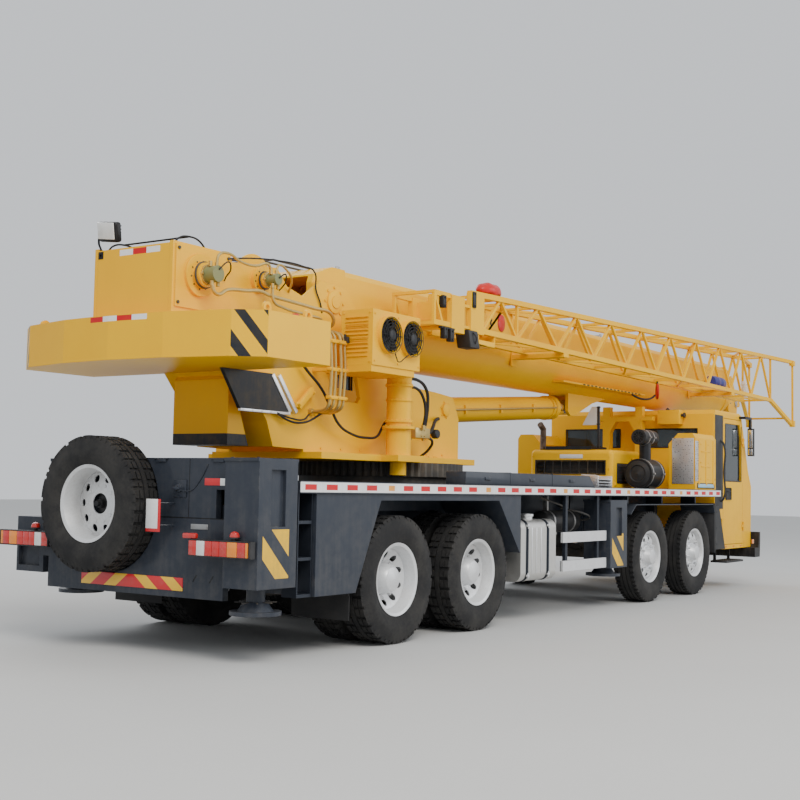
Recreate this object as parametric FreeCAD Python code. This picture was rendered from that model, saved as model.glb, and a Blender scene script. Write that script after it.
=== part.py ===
import FreeCAD, Part
import math
import os
from FreeCAD import Vector

# Four-axle truck crane, drawn as it drives on the road, boom down and outriggers in.
# Millimetres. X runs forward from the rearmost axle, Y to the left, Z up from the ground.
# Every piece is moved at the end so that the origin lies under the middle of the whole crane.

# Driving sizes
bogie_gap = 1350.0
middle_gap = 4105.0
front_gap = 1470.0
tyre_radius = 542.0
tyre_width = 300.0
front_track = 2410.0
rear_track = 2075.0
twin_gap = 340.0
body_half_width = 1390.0
deck_top = 1360.0
deck_depth = 95.0
rear_end = -2130.0
front_end = 11800.0
boom_pivot_x = 200.0
boom_pivot_z = 3000.0
boom_floor_z = 2530.0
slew_x = 1573.0
running_gap = 0.3
moving_gap = 6.0

# Axle places, counted from the front as on the real crane
axle_4_x = 0.0
axle_3_x = axle_4_x + bogie_gap
axle_2_x = axle_3_x + middle_gap
axle_1_x = axle_2_x + front_gap
deck_floor = deck_top - deck_depth
origin_x = (front_end + rear_end) / 2


# Drawing helpers
def box(x0, x1, y0, y1, z0, z1):
    low = Vector(min(x0, x1), min(y0, y1), min(z0, z1))
    return Part.makeBox(abs(x1 - x0), abs(y1 - y0), abs(z1 - z0), low)


def pair_box(x0, x1, y0, y1, z0, z1):
    return [box(x0, x1, y0, y1, z0, z1), box(x0, x1, -y0, -y1, z0, z1)]


def cylinder(start, end, radius):
    start = Vector(*start)
    direction = Vector(*end) - start
    return Part.makeCylinder(radius, direction.Length, start, direction)


def cone(start, end, radius_0, radius_1):
    start = Vector(*start)
    direction = Vector(*end) - start
    return Part.makeCone(radius_0, radius_1, direction.Length, start, direction)


def tube(start, end, radius, bore):
    return cylinder(start, end, radius).cut(cylinder(start, end, bore))


def polygon_face(points):
    return Part.Face(Part.makePolygon(points + [points[0]]))


# Outline in X and Z, pushed across from y0 to y1
def side_profile(outline, y0, y1):
    face = polygon_face([Vector(x, min(y0, y1), z) for x, z in outline])
    return face.extrude(Vector(0, abs(y1 - y0), 0))


def pair_profile(outline, y0, y1):
    return [side_profile(outline, y0, y1), side_profile(outline, -y0, -y1)]


# Outline in X and Y, pushed up from z0 to z1
def plan_profile(outline, z0, z1):
    face = polygon_face([Vector(x, y, z0) for x, y in outline])
    return face.extrude(Vector(0, 0, z1 - z0))


# Outline in Y and Z, pushed forward from x0 to x1
def cross_profile(outline, x0, x1):
    face = polygon_face([Vector(x0, y, z) for y, z in outline])
    return face.extrude(Vector(x1 - x0, 0, 0))


def fuse(shapes):
    shape = shapes[0]
    if len(shapes) > 1:
        shape = shape.multiFuse(shapes[1:])
    return shape.removeSplitter()


# Box with every edge rounded but those of its floor
def rounded_box(x0, x1, y0, y1, z0, z1, radius):
    shape = box(x0, x1, y0, y1, z0, z1)
    return shape.makeFillet(radius, [edge for edge in shape.Edges if edge.BoundBox.ZMax > z0 + 1])


def save(node, shapes):
    os.makedirs("parts", exist_ok=True)
    solids = [solid for shape in shapes for solid in shape.Solids]
    shape = solids[0] if len(solids) == 1 else Part.makeCompound(solids)
    shape = shape.copy()
    shape.translate(Vector(-origin_x, 0, 0))
    shape.exportStep("parts/" + node + ".step")


# Wheels: rings turned about Y, with y measured outwards from the wheel's middle
rim_radius = 296.0
rim_wall = 14.0
bead_half_width = 112.0
tread_half_width = 122.0
sidewall_drop = 60.0
disc_wall = 16.0
hub_radius = 112.0
spindle_radius = 52.0
hub_inner = 62.0
front_hub_end = 125.0
twin_hub_end = 200.0
cap_wall = 12.0
cap_radius = 84.0
twin_cap_radius = 138.0
cap_depth = 60.0
front_disc = [(150.0, 62.0), (215.0, 88.0), (286.0, 66.0)]
hand_hole_radius = 29.0
hand_hole_circle = 236.0
twin_hole_circle = 205.0
hand_holes = 10


def turned(outline, x, y, outward):
    face = polygon_face([Vector(x, y + outward * w, tyre_radius + r) for r, w in outline])
    return face.revolve(Vector(x, y, tyre_radius), Vector(0, 1, 0), 360)


def tyre_outline(middle):
    half = tyre_width / 2
    side = (tyre_radius + rim_radius) / 2
    rear = [(rim_radius, middle - bead_half_width), (side, middle - half),
            (tyre_radius - sidewall_drop, middle - half), (tyre_radius, middle - tread_half_width)]
    return rear + [(r, 2 * middle - w) for r, w in reversed(rear)]


def wheel(x, y, outward, middles, hub_end):
    twin = len(middles) == 2
    inside = rim_radius - rim_wall
    pieces = []
    for middle in middles:
        pieces.append(turned(tyre_outline(middle), x, y, outward))
        pieces.append(turned([(inside, middle - bead_half_width), (rim_radius, middle - bead_half_width),
                              (rim_radius, middle + bead_half_width), (inside, middle + bead_half_width)],
                             x, y, outward))
    if twin:
        bead = twin_gap / 2 - bead_half_width + 20
        disc = [(hub_radius - 5, -disc_wall), (inside + 2, -bead), (inside + 2, bead), (hub_radius - 5, disc_wall)]
        cap = [(hub_radius, hub_end - cap_depth - disc_wall), (twin_cap_radius, hub_end - cap_depth),
               (twin_cap_radius, hub_end - disc_wall), (cap_radius, hub_end)]
    else:
        face = [(hub_radius - 5, front_disc[0][1])] + front_disc
        disc = face + [(r, w + cap_wall) for r, w in reversed(face)]
        cap = [(hub_radius, hub_end - cap_depth), (cap_radius, hub_end)]
    pieces.append(turned(disc, x, y, outward))
    bore = spindle_radius + running_gap
    hub = [(bore, -hub_inner), (hub_radius, -hub_inner)] + cap
    hub += [(0, hub_end), (0, hub_end - cap_wall), (bore, hub_end - cap_wall)]
    pieces.append(turned(hub, x, y, outward))
    holes = []
    circle = twin_hole_circle if twin else hand_hole_circle
    for index in range(hand_holes):
        angle = 2 * math.pi * (index + 0.5) / hand_holes
        hole_x, hole_z = x + circle * math.cos(angle), tyre_radius + circle * math.sin(angle)
        holes.append(cylinder((hole_x, y - hub_end, hole_z), (hole_x, y + hub_end, hole_z), hand_hole_radius))
    return fuse(pieces).cut(holes)


wheel_places = [
    # name, axle x, track, middles of the tyres, hub end
    ("axle_1", axle_1_x, front_track, [0.0], front_hub_end),
    ("axle_2", axle_2_x, front_track, [0.0], front_hub_end),
    ("axle_3", axle_3_x, rear_track, [-twin_gap / 2, twin_gap / 2], twin_hub_end),
    ("axle_4", axle_4_x, rear_track, [-twin_gap / 2, twin_gap / 2], twin_hub_end),
]
for name, x, track, middles, hub_end in wheel_places:
    for side, outward in (("left", 1), ("right", -1)):
        save("wheel_" + name + "_" + side, [wheel(x, outward * track / 2, outward, middles, hub_end)])

# Steering knuckles, each a fork round the end of its axle beam
kingpin_inset = 195.0
kingpin_radius = 22.0
eye_radius = 55.0
eye_half_height = 58.0
fork_gap = 2.0
fork_wall = 40.0
fork_plate = 36.0


def knuckle(x, outward):
    kingpin_y = front_track / 2 - kingpin_inset
    top = eye_half_height + fork_gap
    plate_y = kingpin_y + eye_radius + moving_gap
    arms = [box(x - eye_radius, x + eye_radius, outward * (kingpin_y - eye_radius),
                outward * (plate_y + fork_plate), tyre_radius + low, tyre_radius + low + fork_wall)
            for low in (top, -top - fork_wall)]
    plate = box(x - eye_radius, x + eye_radius, outward * plate_y, outward * (plate_y + fork_plate),
                tyre_radius - top - fork_wall, tyre_radius + top + fork_wall)
    pin = cylinder((x, outward * kingpin_y, tyre_radius - top - fork_wall),
                   (x, outward * kingpin_y, tyre_radius + top + fork_wall), kingpin_radius)
    spindle_end = front_track / 2 + front_hub_end - cap_wall - moving_gap
    spindle = cylinder((x, outward * plate_y, tyre_radius), (x, outward * spindle_end, tyre_radius), spindle_radius)
    return fuse(arms + [plate, pin, spindle])


for name, x in (("axle_1", axle_1_x), ("axle_2", axle_2_x)):
    for side, outward in (("left", 1), ("right", -1)):
        save("knuckle_" + name + "_" + side, [knuckle(x, outward)])

# Axles: two steered beams in front, two driven axles behind with their shafts and gearbox
beam_half_depth = 60.0
beam_half_height = 50.0
axle_tube_radius = 88.0
diff_radius = 215.0
diff_half_depth = 110.0
diff_neck = 150.0
nose_length = 250.0
nose_radius = 70.0
shaft_radius = 45.0
frame_half_width = 430.0
frame_floor = 800.0
transfer_case = [2350.0, 2750.0, 200.0, 620.0]
gearbox = [4750.0, 5300.0, 200.0, 640.0]
spring_half_width = 45.0
spring_y = 500.0
spring_half_span = 600.0
spring_rise = 100.0
spring_seat = 60.0


def steered_axle(x):
    kingpin_y = front_track / 2 - kingpin_inset
    shapes = [box(x - beam_half_depth, x + beam_half_depth, -kingpin_y + eye_radius, kingpin_y - eye_radius,
                  tyre_radius - beam_half_height, tyre_radius + beam_half_height)]
    for outward in (1, -1):
        shapes.append(cylinder((x, outward * kingpin_y, tyre_radius - eye_half_height),
                               (x, outward * kingpin_y, tyre_radius + eye_half_height), eye_radius))
        shapes.append(box(x - beam_half_height, x + beam_half_height, outward * (kingpin_y - eye_radius - 10),
                          outward * (kingpin_y - eye_radius + 20), tyre_radius - eye_half_height,
                          tyre_radius + eye_half_height))
    shape = fuse(shapes)
    holes = [cylinder((x, outward * kingpin_y, tyre_radius - 2 * eye_half_height),
                      (x, outward * kingpin_y, tyre_radius + 2 * eye_half_height),
                      kingpin_radius + running_gap) for outward in (1, -1)]
    return shape.cut(holes)


def driven_axle(x):
    tube_end = rear_track / 2 - hub_inner - moving_gap
    spindle_end = rear_track / 2 + twin_hub_end - cap_wall - moving_gap
    nose_x = x + diff_half_depth
    shapes = [cylinder((x, -tube_end, tyre_radius), (x, tube_end, tyre_radius), axle_tube_radius),
              cylinder((x, -spindle_end, tyre_radius), (x, spindle_end, tyre_radius), spindle_radius),
              cylinder((x - diff_half_depth, 0, tyre_radius), (nose_x, 0, tyre_radius), diff_radius),
              cone((nose_x, 0, tyre_radius), (nose_x + nose_length, 0, tyre_radius), diff_half_depth, nose_radius)]
    for outward in (1, -1):
        shapes.append(cone((x, outward * diff_neck / 2, tyre_radius), (x, outward * diff_neck * 2, tyre_radius),
                           diff_neck, axle_tube_radius))
    return shapes


# Shafts from the gearbox over the transfer case to both driven axles
def drive_line():
    shapes = []
    for rear, front, half, floor in (transfer_case, gearbox):
        shapes.append(box(rear, front, -half, half, floor, frame_floor))
    nose = diff_half_depth + nose_length
    for start, end in (((axle_4_x + nose - 5, tyre_radius), (axle_3_x - diff_half_depth + 5, tyre_radius)),
                       ((axle_3_x + nose - 5, tyre_radius), (transfer_case[0] + 5, transfer_case[3] + nose_radius)),
                       ((transfer_case[1] - 5, transfer_case[3] + nose_radius), (gearbox[0] + 5, gearbox[3] + nose_radius))):
        shapes.append(cylinder((start[0], 0, start[1]), (end[0], 0, end[1]), shaft_radius))
    return shapes


# Leaf springs stand on the axles and meet the frame's floor
def leaf_springs(x, seat_radius, span):
    top = frame_floor
    bottom = tyre_radius + seat_radius
    shapes = []
    for y in (spring_y, -spring_y):
        shapes.append(box(x - spring_seat, x + spring_seat, y - spring_half_width, y + spring_half_width,
                          tyre_radius, bottom + 40))
        shapes.append(side_profile([(x - spring_seat, bottom + 20), (x + spring_seat, bottom + 20),
                                    (x + span, top + 40), (x + span, top + spring_rise),
                                    (x + span - 80, top + spring_rise), (x, bottom + 110),
                                    (x - span + 80, top + spring_rise), (x - span, top + spring_rise),
                                    (x - span, top + 40)],
                                   y - spring_half_width, y + spring_half_width))
    return shapes


# Hangers on the frame's sides hold the springs' ends
def spring_hangers():
    shapes = []
    for x in (axle_1_x, axle_2_x, axle_3_x, axle_4_x):
        for end in (x - spring_half_span + 40, x + spring_half_span - 40):
            shapes += pair_box(end - 40, end + 40, frame_half_width - 1, spring_y + spring_half_width,
                               frame_floor + spring_rise, deck_floor)
    return shapes


axle_solids = []
for x in (axle_1_x, axle_2_x):
    axle_solids.append(fuse([steered_axle(x)] + leaf_springs(x, beam_half_height, spring_half_span)))
driven = drive_line()
for x in (axle_3_x, axle_4_x):
    driven += driven_axle(x) + leaf_springs(x, axle_tube_radius, spring_half_span)
axle_solids.append(fuse(driven))
save("axles", axle_solids)

# Outriggers: one row for each beam, its column standing at the beam's outer end
column_depth = 330.0
jack_inset = 195.0
column_half_width = 225.0
column_cap = 8.0
column_cap_depth = 24.0
slot_half_width = 85.0
slot_depth = 30.0
beam_wall_gap = 8.0
beam_stroke = 1800.0
jack_stroke = 500.0
rear_outrigger_x = -1685.0
rear_left_x = -1226.0
front_outrigger_x = 4392.0
beam_half_side = 98.0
beam_height = 185.0
housing_wall = 16.0
housing_half_length = body_half_width - column_depth - 15
jack_radius = 70.0
float_radius = 195.0
float_height = 95.0
float_floor = 358.0
outriggers = [
    # name, column x, outward, beam x, beam floor z, column floor z, column top z
    ("rear_right", rear_outrigger_x, -1, rear_outrigger_x + 95.0, 955.0, 560.0, 1520.0),
    ("rear_left", rear_left_x, 1, rear_left_x - 112.0, 955.0, 560.0, 1520.0),
    ("front_right", front_outrigger_x, -1, front_outrigger_x - 112.0, 830.0, 457.0, 1220.0),
    ("front_left", front_outrigger_x, 1, front_outrigger_x + 112.0, 830.0, 457.0, 1220.0),
]


def outrigger_beam(column_x, outward, beam_x, beam_z, column_z, column_top):
    inner = body_half_width - column_depth
    column = box(column_x - column_half_width, column_x + column_half_width, outward * inner,
                 outward * body_half_width, column_z, column_top)
    cap = box(column_x - column_half_width - column_cap, column_x + column_half_width + column_cap,
              outward * (inner - column_cap), outward * body_half_width, column_top - column_cap_depth, column_top)
    jack_y = outward * (body_half_width - jack_inset)
    bore = cylinder((column_x, jack_y, column_z - 1), (column_x, jack_y, column_top - 60),
                    jack_radius + running_gap)
    slot = box(column_x - slot_half_width, column_x + slot_half_width, outward * (body_half_width - slot_depth),
               outward * (body_half_width + 1), (column_z + column_top) / 2 - 25, column_top - 85)
    beam = box(beam_x - beam_half_side, beam_x + beam_half_side, outward * (inner + 1),
               -outward * (housing_half_length - 60), beam_z, beam_z + beam_height)
    return fuse([column, cap, beam]).cut([bore, slot])


def outrigger_jack(column_x, outward, column_z, column_top):
    jack_y = outward * (body_half_width - jack_inset)
    rod_top = column_top - 60 - moving_gap
    plate_top = float_floor + 30
    rod = cylinder((column_x, jack_y, plate_top), (column_x, jack_y, rod_top), jack_radius)
    plate = cylinder((column_x, jack_y, float_floor), (column_x, jack_y, plate_top), float_radius)
    dome = cone((column_x, jack_y, plate_top), (column_x, jack_y, float_floor + float_height),
                float_radius * 0.7, jack_radius + 20)
    return fuse([rod, plate, dome])


def outrigger_housing(rows):
    shapes = []
    channels = []
    for row in rows:
        beam_x, beam_z = row[3], row[4]
        shapes.append(box(beam_x - beam_half_side - beam_wall_gap - housing_wall,
                          beam_x + beam_half_side + beam_wall_gap + housing_wall,
                          -housing_half_length, housing_half_length,
                          beam_z - running_gap - housing_wall, beam_z + beam_height + beam_wall_gap + housing_wall))
        channels.append(box(beam_x - beam_half_side - beam_wall_gap, beam_x + beam_half_side + beam_wall_gap,
                            -housing_half_length - 1, housing_half_length + 1,
                            beam_z - running_gap, beam_z + beam_height + beam_wall_gap))
    return shapes, channels


for name, column_x, outward, beam_x, beam_z, column_z, column_top in outriggers:
    save("outrigger_beam_" + name,
         [outrigger_beam(column_x, outward, beam_x, beam_z, column_z, column_top)])
    save("outrigger_jack_" + name, [outrigger_jack(column_x, outward, column_z, column_top)])

# Frame and deck, with an open bay for the engine
frame_rear = -1640.0
frame_front = 7830.0
neck_rear = 7500.0
neck_floor = 400.0
neck_top = 530.0
neck_front = 9195.0
cross_half_width = 690.0
cross_half_length = 950.0
cross_depth = 165.0
frame_wall = 24.0
deck_rear = -1425.0
deck_front = 7720.0
deck_plate = 12.0
edge_wall = 30.0
rib_wall = 40.0
rib_bays = 9
notch_front = rear_left_x + column_half_width + column_cap + 10
notch_inner = body_half_width - column_depth - column_cap - 12
bay_rear = 5750.0
bay_front = 6880.0
bay_half_width = frame_half_width - frame_wall
hatch_rear = 5990.0
hatch_front = 6860.0
ring_radius = 865.0
ring_tooth = 28.0
ring_base_radius = 800.0
ring_bore = 640.0
ring_floor = deck_top
ring_top = 1560.0
ring_tooth_floor = 1425.0
ring_steps = 72


def frame():
    rails = box(frame_rear, frame_front, -frame_half_width, frame_half_width, frame_floor, deck_floor)
    cross = box(slew_x - cross_half_length, slew_x + cross_half_length, -cross_half_width, cross_half_width,
                deck_floor - cross_depth, deck_floor)
    housings, channels = outrigger_housing(outriggers)
    bay = box(bay_rear, bay_front, -bay_half_width, bay_half_width, frame_floor - 1, deck_floor + 1)
    neck = side_profile([(neck_rear, frame_floor + 1), (neck_rear + 60, neck_floor), (neck_front, neck_floor),
                         (neck_front, neck_top), (frame_front, neck_top), (frame_front, frame_floor + 1)],
                        -frame_half_width, frame_half_width)
    return fuse([rails, cross, neck, deck()] + housings + spring_hangers()).cut(channels + [bay])


def deck():
    plate = box(deck_rear, deck_front, -body_half_width, body_half_width, deck_top - deck_plate, deck_top)
    edges = pair_box(deck_rear, deck_front, body_half_width - edge_wall, body_half_width, deck_floor, deck_top)
    ends = [box(x, x + edge_wall, -body_half_width, body_half_width, deck_floor, deck_top)
            for x in (deck_rear, deck_front - edge_wall)]
    ribs = []
    for index in range(1, rib_bays):
        x = deck_rear + (deck_front - deck_rear) * index / rib_bays
        ribs.append(box(x - rib_wall / 2, x + rib_wall / 2, -body_half_width, body_half_width, deck_floor, deck_top))
    hatch = box(hatch_rear, hatch_front, -bay_half_width, bay_half_width, deck_floor - 1, deck_top + 1)
    notch = box(deck_rear - 1, notch_front, notch_inner, body_half_width + 1, deck_floor - 1, deck_top + 1)
    return fuse([plate] + edges + ends + ribs).cut([hatch, notch])


save("frame", [frame()])


# Slew ring on the deck, with outside teeth
def slew_ring():
    teeth = []
    for index in range(ring_steps):
        for share, drop in ((0.0, ring_tooth), (0.3, 0.0), (0.6, 0.0), (0.9, ring_tooth)):
            angle = 2 * math.pi * (index + share) / ring_steps
            radius = ring_radius - drop
            teeth.append((slew_x + radius * math.cos(angle), radius * math.sin(angle)))
    gear = plan_profile(teeth, ring_tooth_floor, ring_top)
    base = cylinder((slew_x, 0, ring_floor), (slew_x, 0, ring_tooth_floor + 10), ring_base_radius)
    bore = cylinder((slew_x, 0, ring_floor - 1), (slew_x, 0, ring_top + 1), ring_bore)
    return fuse([gear, base]).cut(bore)


save("slew_ring", [slew_ring()])

# Tail body behind the rear outriggers, storage boxes, wheel-arch panels and front fenders
tail_x = -1800.0
well_depth = 45.0
tail_wall = 60.0
tail_half_width = body_half_width - column_depth - 20
tail_floor = 700.0
tail_top = 1520.0
tail_lid = 140.0
lower_half_width = tail_half_width - 70
lower_floor = 450.0
tail_hole = [880.0, 1020.0, 1060.0, 1280.0]
tail_left = 830.0
wing_front = -1500.0
wing_floor = 560.0
wing_top = 1020.0
wing_recess = [1085.0, 1345.0, 612.0, 772.0, 40.0]
spare_x = tail_x + well_depth - tyre_width / 2 - running_gap
spare_y = 280.0
spare_z = 1150.0
box_inner = 700.0
box_outer = body_half_width - 18
tool_box_rear = -1200.0
tool_box = [(tool_box_rear, 470.0), (-665.0, 470.0), (-325.0, 1210.0), (-325.0, deck_floor),
            (tool_box_rear, deck_floor)]
arch_top = 1210.0
arch_plate = 14.0
arch_rear = -325.0
arch_front = 1660.0
apron_front = 2080.0
apron_floor = 700.0
fender_line = [(4770.0, 1050.0), (4930.0, 1160.0), (7480.0, 1160.0), (7540.0, 1050.0)]
fender_inner = 900.0
fender_wall = 12.0
fender_hangers = (5050.0, 6100.0, 7250.0)
hanger_side = 40.0


def tail_body():
    panel = box(tail_x, tail_x + tail_wall, -tail_half_width, tail_half_width, tail_floor, tail_top)
    lower = box(tail_x, tail_x + tail_wall, -lower_half_width, lower_half_width, lower_floor, tail_floor + 10)
    top = box(tail_x, deck_rear - 10, -tail_half_width + 40, tail_half_width - 40, tail_top - tail_lid, tail_top)
    hollow = box(tail_x + tail_wall, deck_rear - 40, -tail_half_width + 60, tail_half_width - 60,
                 tail_top - tail_lid - 10, tail_top - 20)
    well = cylinder((tail_x - 50, spare_y, spare_z), (tail_x + well_depth, spare_y, spare_z),
                    tyre_radius + 15)
    ribs = pair_box(tail_x + tail_wall - 1, frame_rear, 380, 420, frame_floor + 20, frame_floor + 120)
    hole = box(tail_x - 1, tail_x + tail_wall + 1, -tail_hole[0], -tail_hole[1], tail_hole[2], tail_hole[3])
    corner = box(tail_x - 1, deck_rear, tail_left, tail_half_width + 1, wing_top, tail_top + 1)
    wing = [box(tail_x, tail_x + tail_wall, tail_half_width - 5, box_outer, wing_floor, wing_top),
            box(tail_x + 10, wing_front, housing_half_length + 12, box_outer, wing_floor, wing_top)]
    y0, y1, z0, z1, depth = wing_recess
    recess = box(tail_x - 1, tail_x + depth, y0, y1, z0, z1)
    return fuse([fuse([panel, lower, top] + ribs).cut([hollow, well, hole, corner])] + wing).cut(recess)


# Each fender is a bent plate hung from the deck over both front wheels
def fender(outward):
    upper = [(x, z + fender_wall) for x, z in reversed(fender_line)]
    shapes = [side_profile(fender_line + upper, outward * fender_inner, outward * box_outer)]
    for x in fender_hangers:
        shapes.append(box(x, x + hanger_side, outward * (fender_inner + 100), outward * (fender_inner + 300),
                          fender_line[1][1] + 1, deck_top - deck_plate))
    return fuse(shapes)


def storage_boxes():
    shapes = []
    for outward in (1, -1):
        cabinet = side_profile(tool_box, outward * box_inner, outward * box_outer)
        arch = side_profile([(arch_rear, arch_top), (arch_front, arch_top), (apron_front, apron_floor),
                             (apron_front + arch_plate, apron_floor), (apron_front + arch_plate, deck_floor),
                             (arch_rear, deck_floor)], outward * box_inner, outward * box_outer)
        hollow = side_profile([(arch_rear - 1, arch_top + arch_plate), (arch_front + 6, arch_top + arch_plate),
                               (apron_front, apron_floor + arch_plate * 2), (apron_front, deck_floor + 1),
                               (arch_rear - 1, deck_floor + 1)],
                              outward * (box_inner - 1), outward * (box_outer - arch_plate))
        shapes.append(fuse([cabinet, arch.cut(hollow)]))
    corner = box(tool_box_rear - 1, notch_front, notch_inner, body_half_width, 0, deck_floor + 1)
    return [shapes[0].cut(corner), shapes[1]]


save("body_panels", [tail_body(), fender(1), fender(-1)] + storage_boxes())

# Tail lamps in long boxes behind the rear columns, each on a bracket from the tail
lamp_rear = -1975.0
lamp_front = -1918.0
lamp_inner = 775.0
lamp_outer = body_half_width - 12
lamp_floor = 785.0
lamp_top = 910.0
bracket_outer = 1030.0


def tail_lamp(outward):
    return fuse([box(lamp_rear, lamp_front, outward * lamp_inner, outward * lamp_outer, lamp_floor, lamp_top),
                 box(lamp_front - 1, tail_x, outward * lamp_inner, outward * bracket_outer,
                     lamp_floor + 15, lamp_top - 15)])


save("tail_lamps", [tail_lamp(1), tail_lamp(-1)])


# Spare wheel stands against the tail
def spare_wheel():
    half = tyre_width / 2
    outline = [(rim_radius, -half + 38), (rim_radius + 100, -half), (tyre_radius - 60, -half),
               (tyre_radius, -half + 50), (tyre_radius, half - 50), (tyre_radius - 60, half),
               (rim_radius + 100, half), (rim_radius, half - 38)]
    centre = Vector(spare_x, spare_y, spare_z)
    face = polygon_face([centre + Vector(w, 0, r) for r, w in outline])
    ring = face.revolve(centre, Vector(1, 0, 0), 360)
    disc = cylinder((spare_x + 40, spare_y, spare_z), (spare_x + 70, spare_y, spare_z), rim_radius + 2)
    stud = cylinder((spare_x + 60, spare_y, spare_z), (tail_x + well_depth, spare_y, spare_z), 60)
    holes = []
    for index in range(hand_holes):
        angle = 2 * math.pi * (index + 0.5) / hand_holes
        y, z = spare_y + hand_hole_circle * math.cos(angle), spare_z + hand_hole_circle * math.sin(angle)
        holes.append(cylinder((spare_x, y, z), (spare_x + 80, y, z), hand_hole_radius))
    return fuse([ring, disc, stud]).cut(holes)


save("spare_wheel", [spare_wheel()])

# Tanks, side guards and steps hang from the deck between the wheels
tank_rear = 2180.0
tank_front = 2940.0
tank_floor = 400.0
tank_top = 1020.0
tank_inner = 720.0
tank_outer = body_half_width - 60
tank_round = 90.0
strap_wall = 5.0
strap_width = 55.0
strap_places = (tank_rear + 130, tank_front - 185)
guard_rear = 3050.0
guard_front = 4120.0
guard_outer = body_half_width - 30
guard_wall = 35.0
guard_post = 50.0
guard_rail_height = 110.0
guard_rails = (470.0, 770.0)
step_inner = 1200.0
step_outer = body_half_width - 45
step_rear = deck_rear + edge_wall + 3
step_front = tool_box_rear - 12
step_wall = 12.0
step_treads = (470.0, 750.0, 1030.0)
tread_wall = 25.0


def round_tank(x0, x1, y0, y1, z0, z1, radius):
    shape = box(x0, x1, y0, y1, z0, z1)
    return shape.makeFillet(radius, [edge for edge in shape.Edges if abs(edge.BoundBox.XLength - (x1 - x0)) < 1])


def tanks():
    shapes = []
    for outward in (1, -1):
        tank = [round_tank(tank_rear, tank_front, outward * tank_inner, outward * tank_outer,
                           tank_floor, tank_top, tank_round)]
        for x in strap_places:
            tank.append(round_tank(x, x + strap_width, outward * (tank_inner - strap_wall),
                                   outward * (tank_outer + strap_wall), tank_floor - strap_wall,
                                   tank_top + strap_wall, tank_round + strap_wall))
            tank.append(box(x, x + strap_width, outward * (tank_inner + 100), outward * (tank_inner + 160),
                            tank_top - 10, deck_top - deck_plate))
        shapes.append(fuse(tank))
    return shapes


save("tanks", tanks())


def side_guards():
    shapes = []
    for outward in (1, -1):
        rail_inner = guard_outer - guard_wall
        rails = [box(guard_rear, guard_front, outward * rail_inner, outward * guard_outer, z, z + guard_rail_height)
                 for z in guard_rails]
        posts = [box(x, x + guard_post, outward * (rail_inner - guard_wall), outward * (rail_inner + 1),
                     guard_rails[0], deck_top - deck_plate) for x in (guard_rear + 120, guard_front - 170)]
        shapes.append(fuse(rails + posts))
    uprights = [box(x, x + step_wall, -step_inner, -step_outer, step_treads[0], deck_top - deck_plate)
                for x in (step_rear, step_front - step_wall)]
    treads = [box(step_rear, step_front, -step_inner, -step_outer, z, z + tread_wall) for z in step_treads]
    return shapes + [fuse(uprights + treads)]


save("side_guards", side_guards())

# Engine, hood, air cleaner, silencer boxes and boom rest behind the cab
hood_rear = 5950.0
hood_front = 6900.0
hood_half_width = 590.0
hood_top = 1850.0
hood_round = 60.0
hood_wall = 8.0
hood_window = [500.0, 1540.0, 1700.0]
window_bays = 8
window_bar = 14.0
engine_floor = 900.0
engine_top = 1760.0
silencer_rear = 6950.0
silencer_front = 7710.0
silencer_outer = body_half_width - 70
silencer_width = 370.0
silencer_shoulder = 2040.0
silencer_top = 2100.0
silencer_ribs = (7060.0, 7330.0, 7600.0)
rest_rear = 7590.0
rest_front = 7690.0
rest_half_width = 300.0
rest_post = 110.0
rest_arch_top = 2300.0
rest_wing = 450.0
rest_wing_depth = 60.0
rest_beam_top = 2370.0
rest_gap = 20.0


def engine_hood():
    outer = rounded_box(hood_rear, hood_front, -hood_half_width, hood_half_width, deck_top, hood_top, hood_round)
    inner = rounded_box(hood_rear + hood_wall, hood_front - hood_wall, -hood_half_width + hood_wall,
                        hood_half_width - hood_wall, deck_top - 1, hood_top - hood_wall, hood_round - hood_wall)
    half, low, high = hood_window
    pitch = 2 * half / window_bays
    panes = [box(hood_rear - 1, hood_rear + hood_wall + 1, -half + pitch * index + window_bar / 2,
                 -half + pitch * (index + 1) - window_bar / 2, low, high) for index in range(window_bays)]
    return outer.cut([inner] + panes)


def engine():
    sump = box(bay_rear + 60, bay_front - 60, -bay_half_width, bay_half_width, engine_floor, deck_floor - 15)
    block = box(hatch_rear + 60, hatch_front - 60, -bay_half_width, bay_half_width, deck_floor - 16, engine_top)
    return fuse([sump, block])


save("engine", [engine()])


# Rounded box with ribs on its outer side
def silencer_box(outward):
    inner = silencer_outer - silencer_width
    outline = [(silencer_outer, deck_top), (silencer_outer, silencer_shoulder), (silencer_outer - 40, silencer_top),
               (inner + 130, silencer_top), (inner, silencer_top - 140), (inner, deck_top)]
    shapes = [cross_profile([(outward * y, z) for y, z in outline], silencer_rear, silencer_front)]
    for x in silencer_ribs:
        shapes.append(box(x, x + 40, outward * (silencer_outer - 1), outward * (silencer_outer + 8),
                          deck_top + 60, silencer_shoulder - 20))
    return fuse(shapes)


save("deck_housings", [engine_hood(), silencer_box(1), silencer_box(-1)])

cleaner_x = 6400.0
cleaner_y = -850.0
cleaner_z = 1550.0
cleaner_radius = 190.0
cleaner_half_length = 220.0
cleaner_neck = 75.0
pre_cleaner_z = 2020.0
pre_cleaner_radius = 100.0
pre_cleaner_half_length = 215.0
lid_plate = [5990.0, 6480.0, -270.0, 390.0, 45.0]
exhaust_x = 6060.0
exhaust_y = 455.0
exhaust_top = 2200.0
exhaust_radius = 40.0


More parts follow.
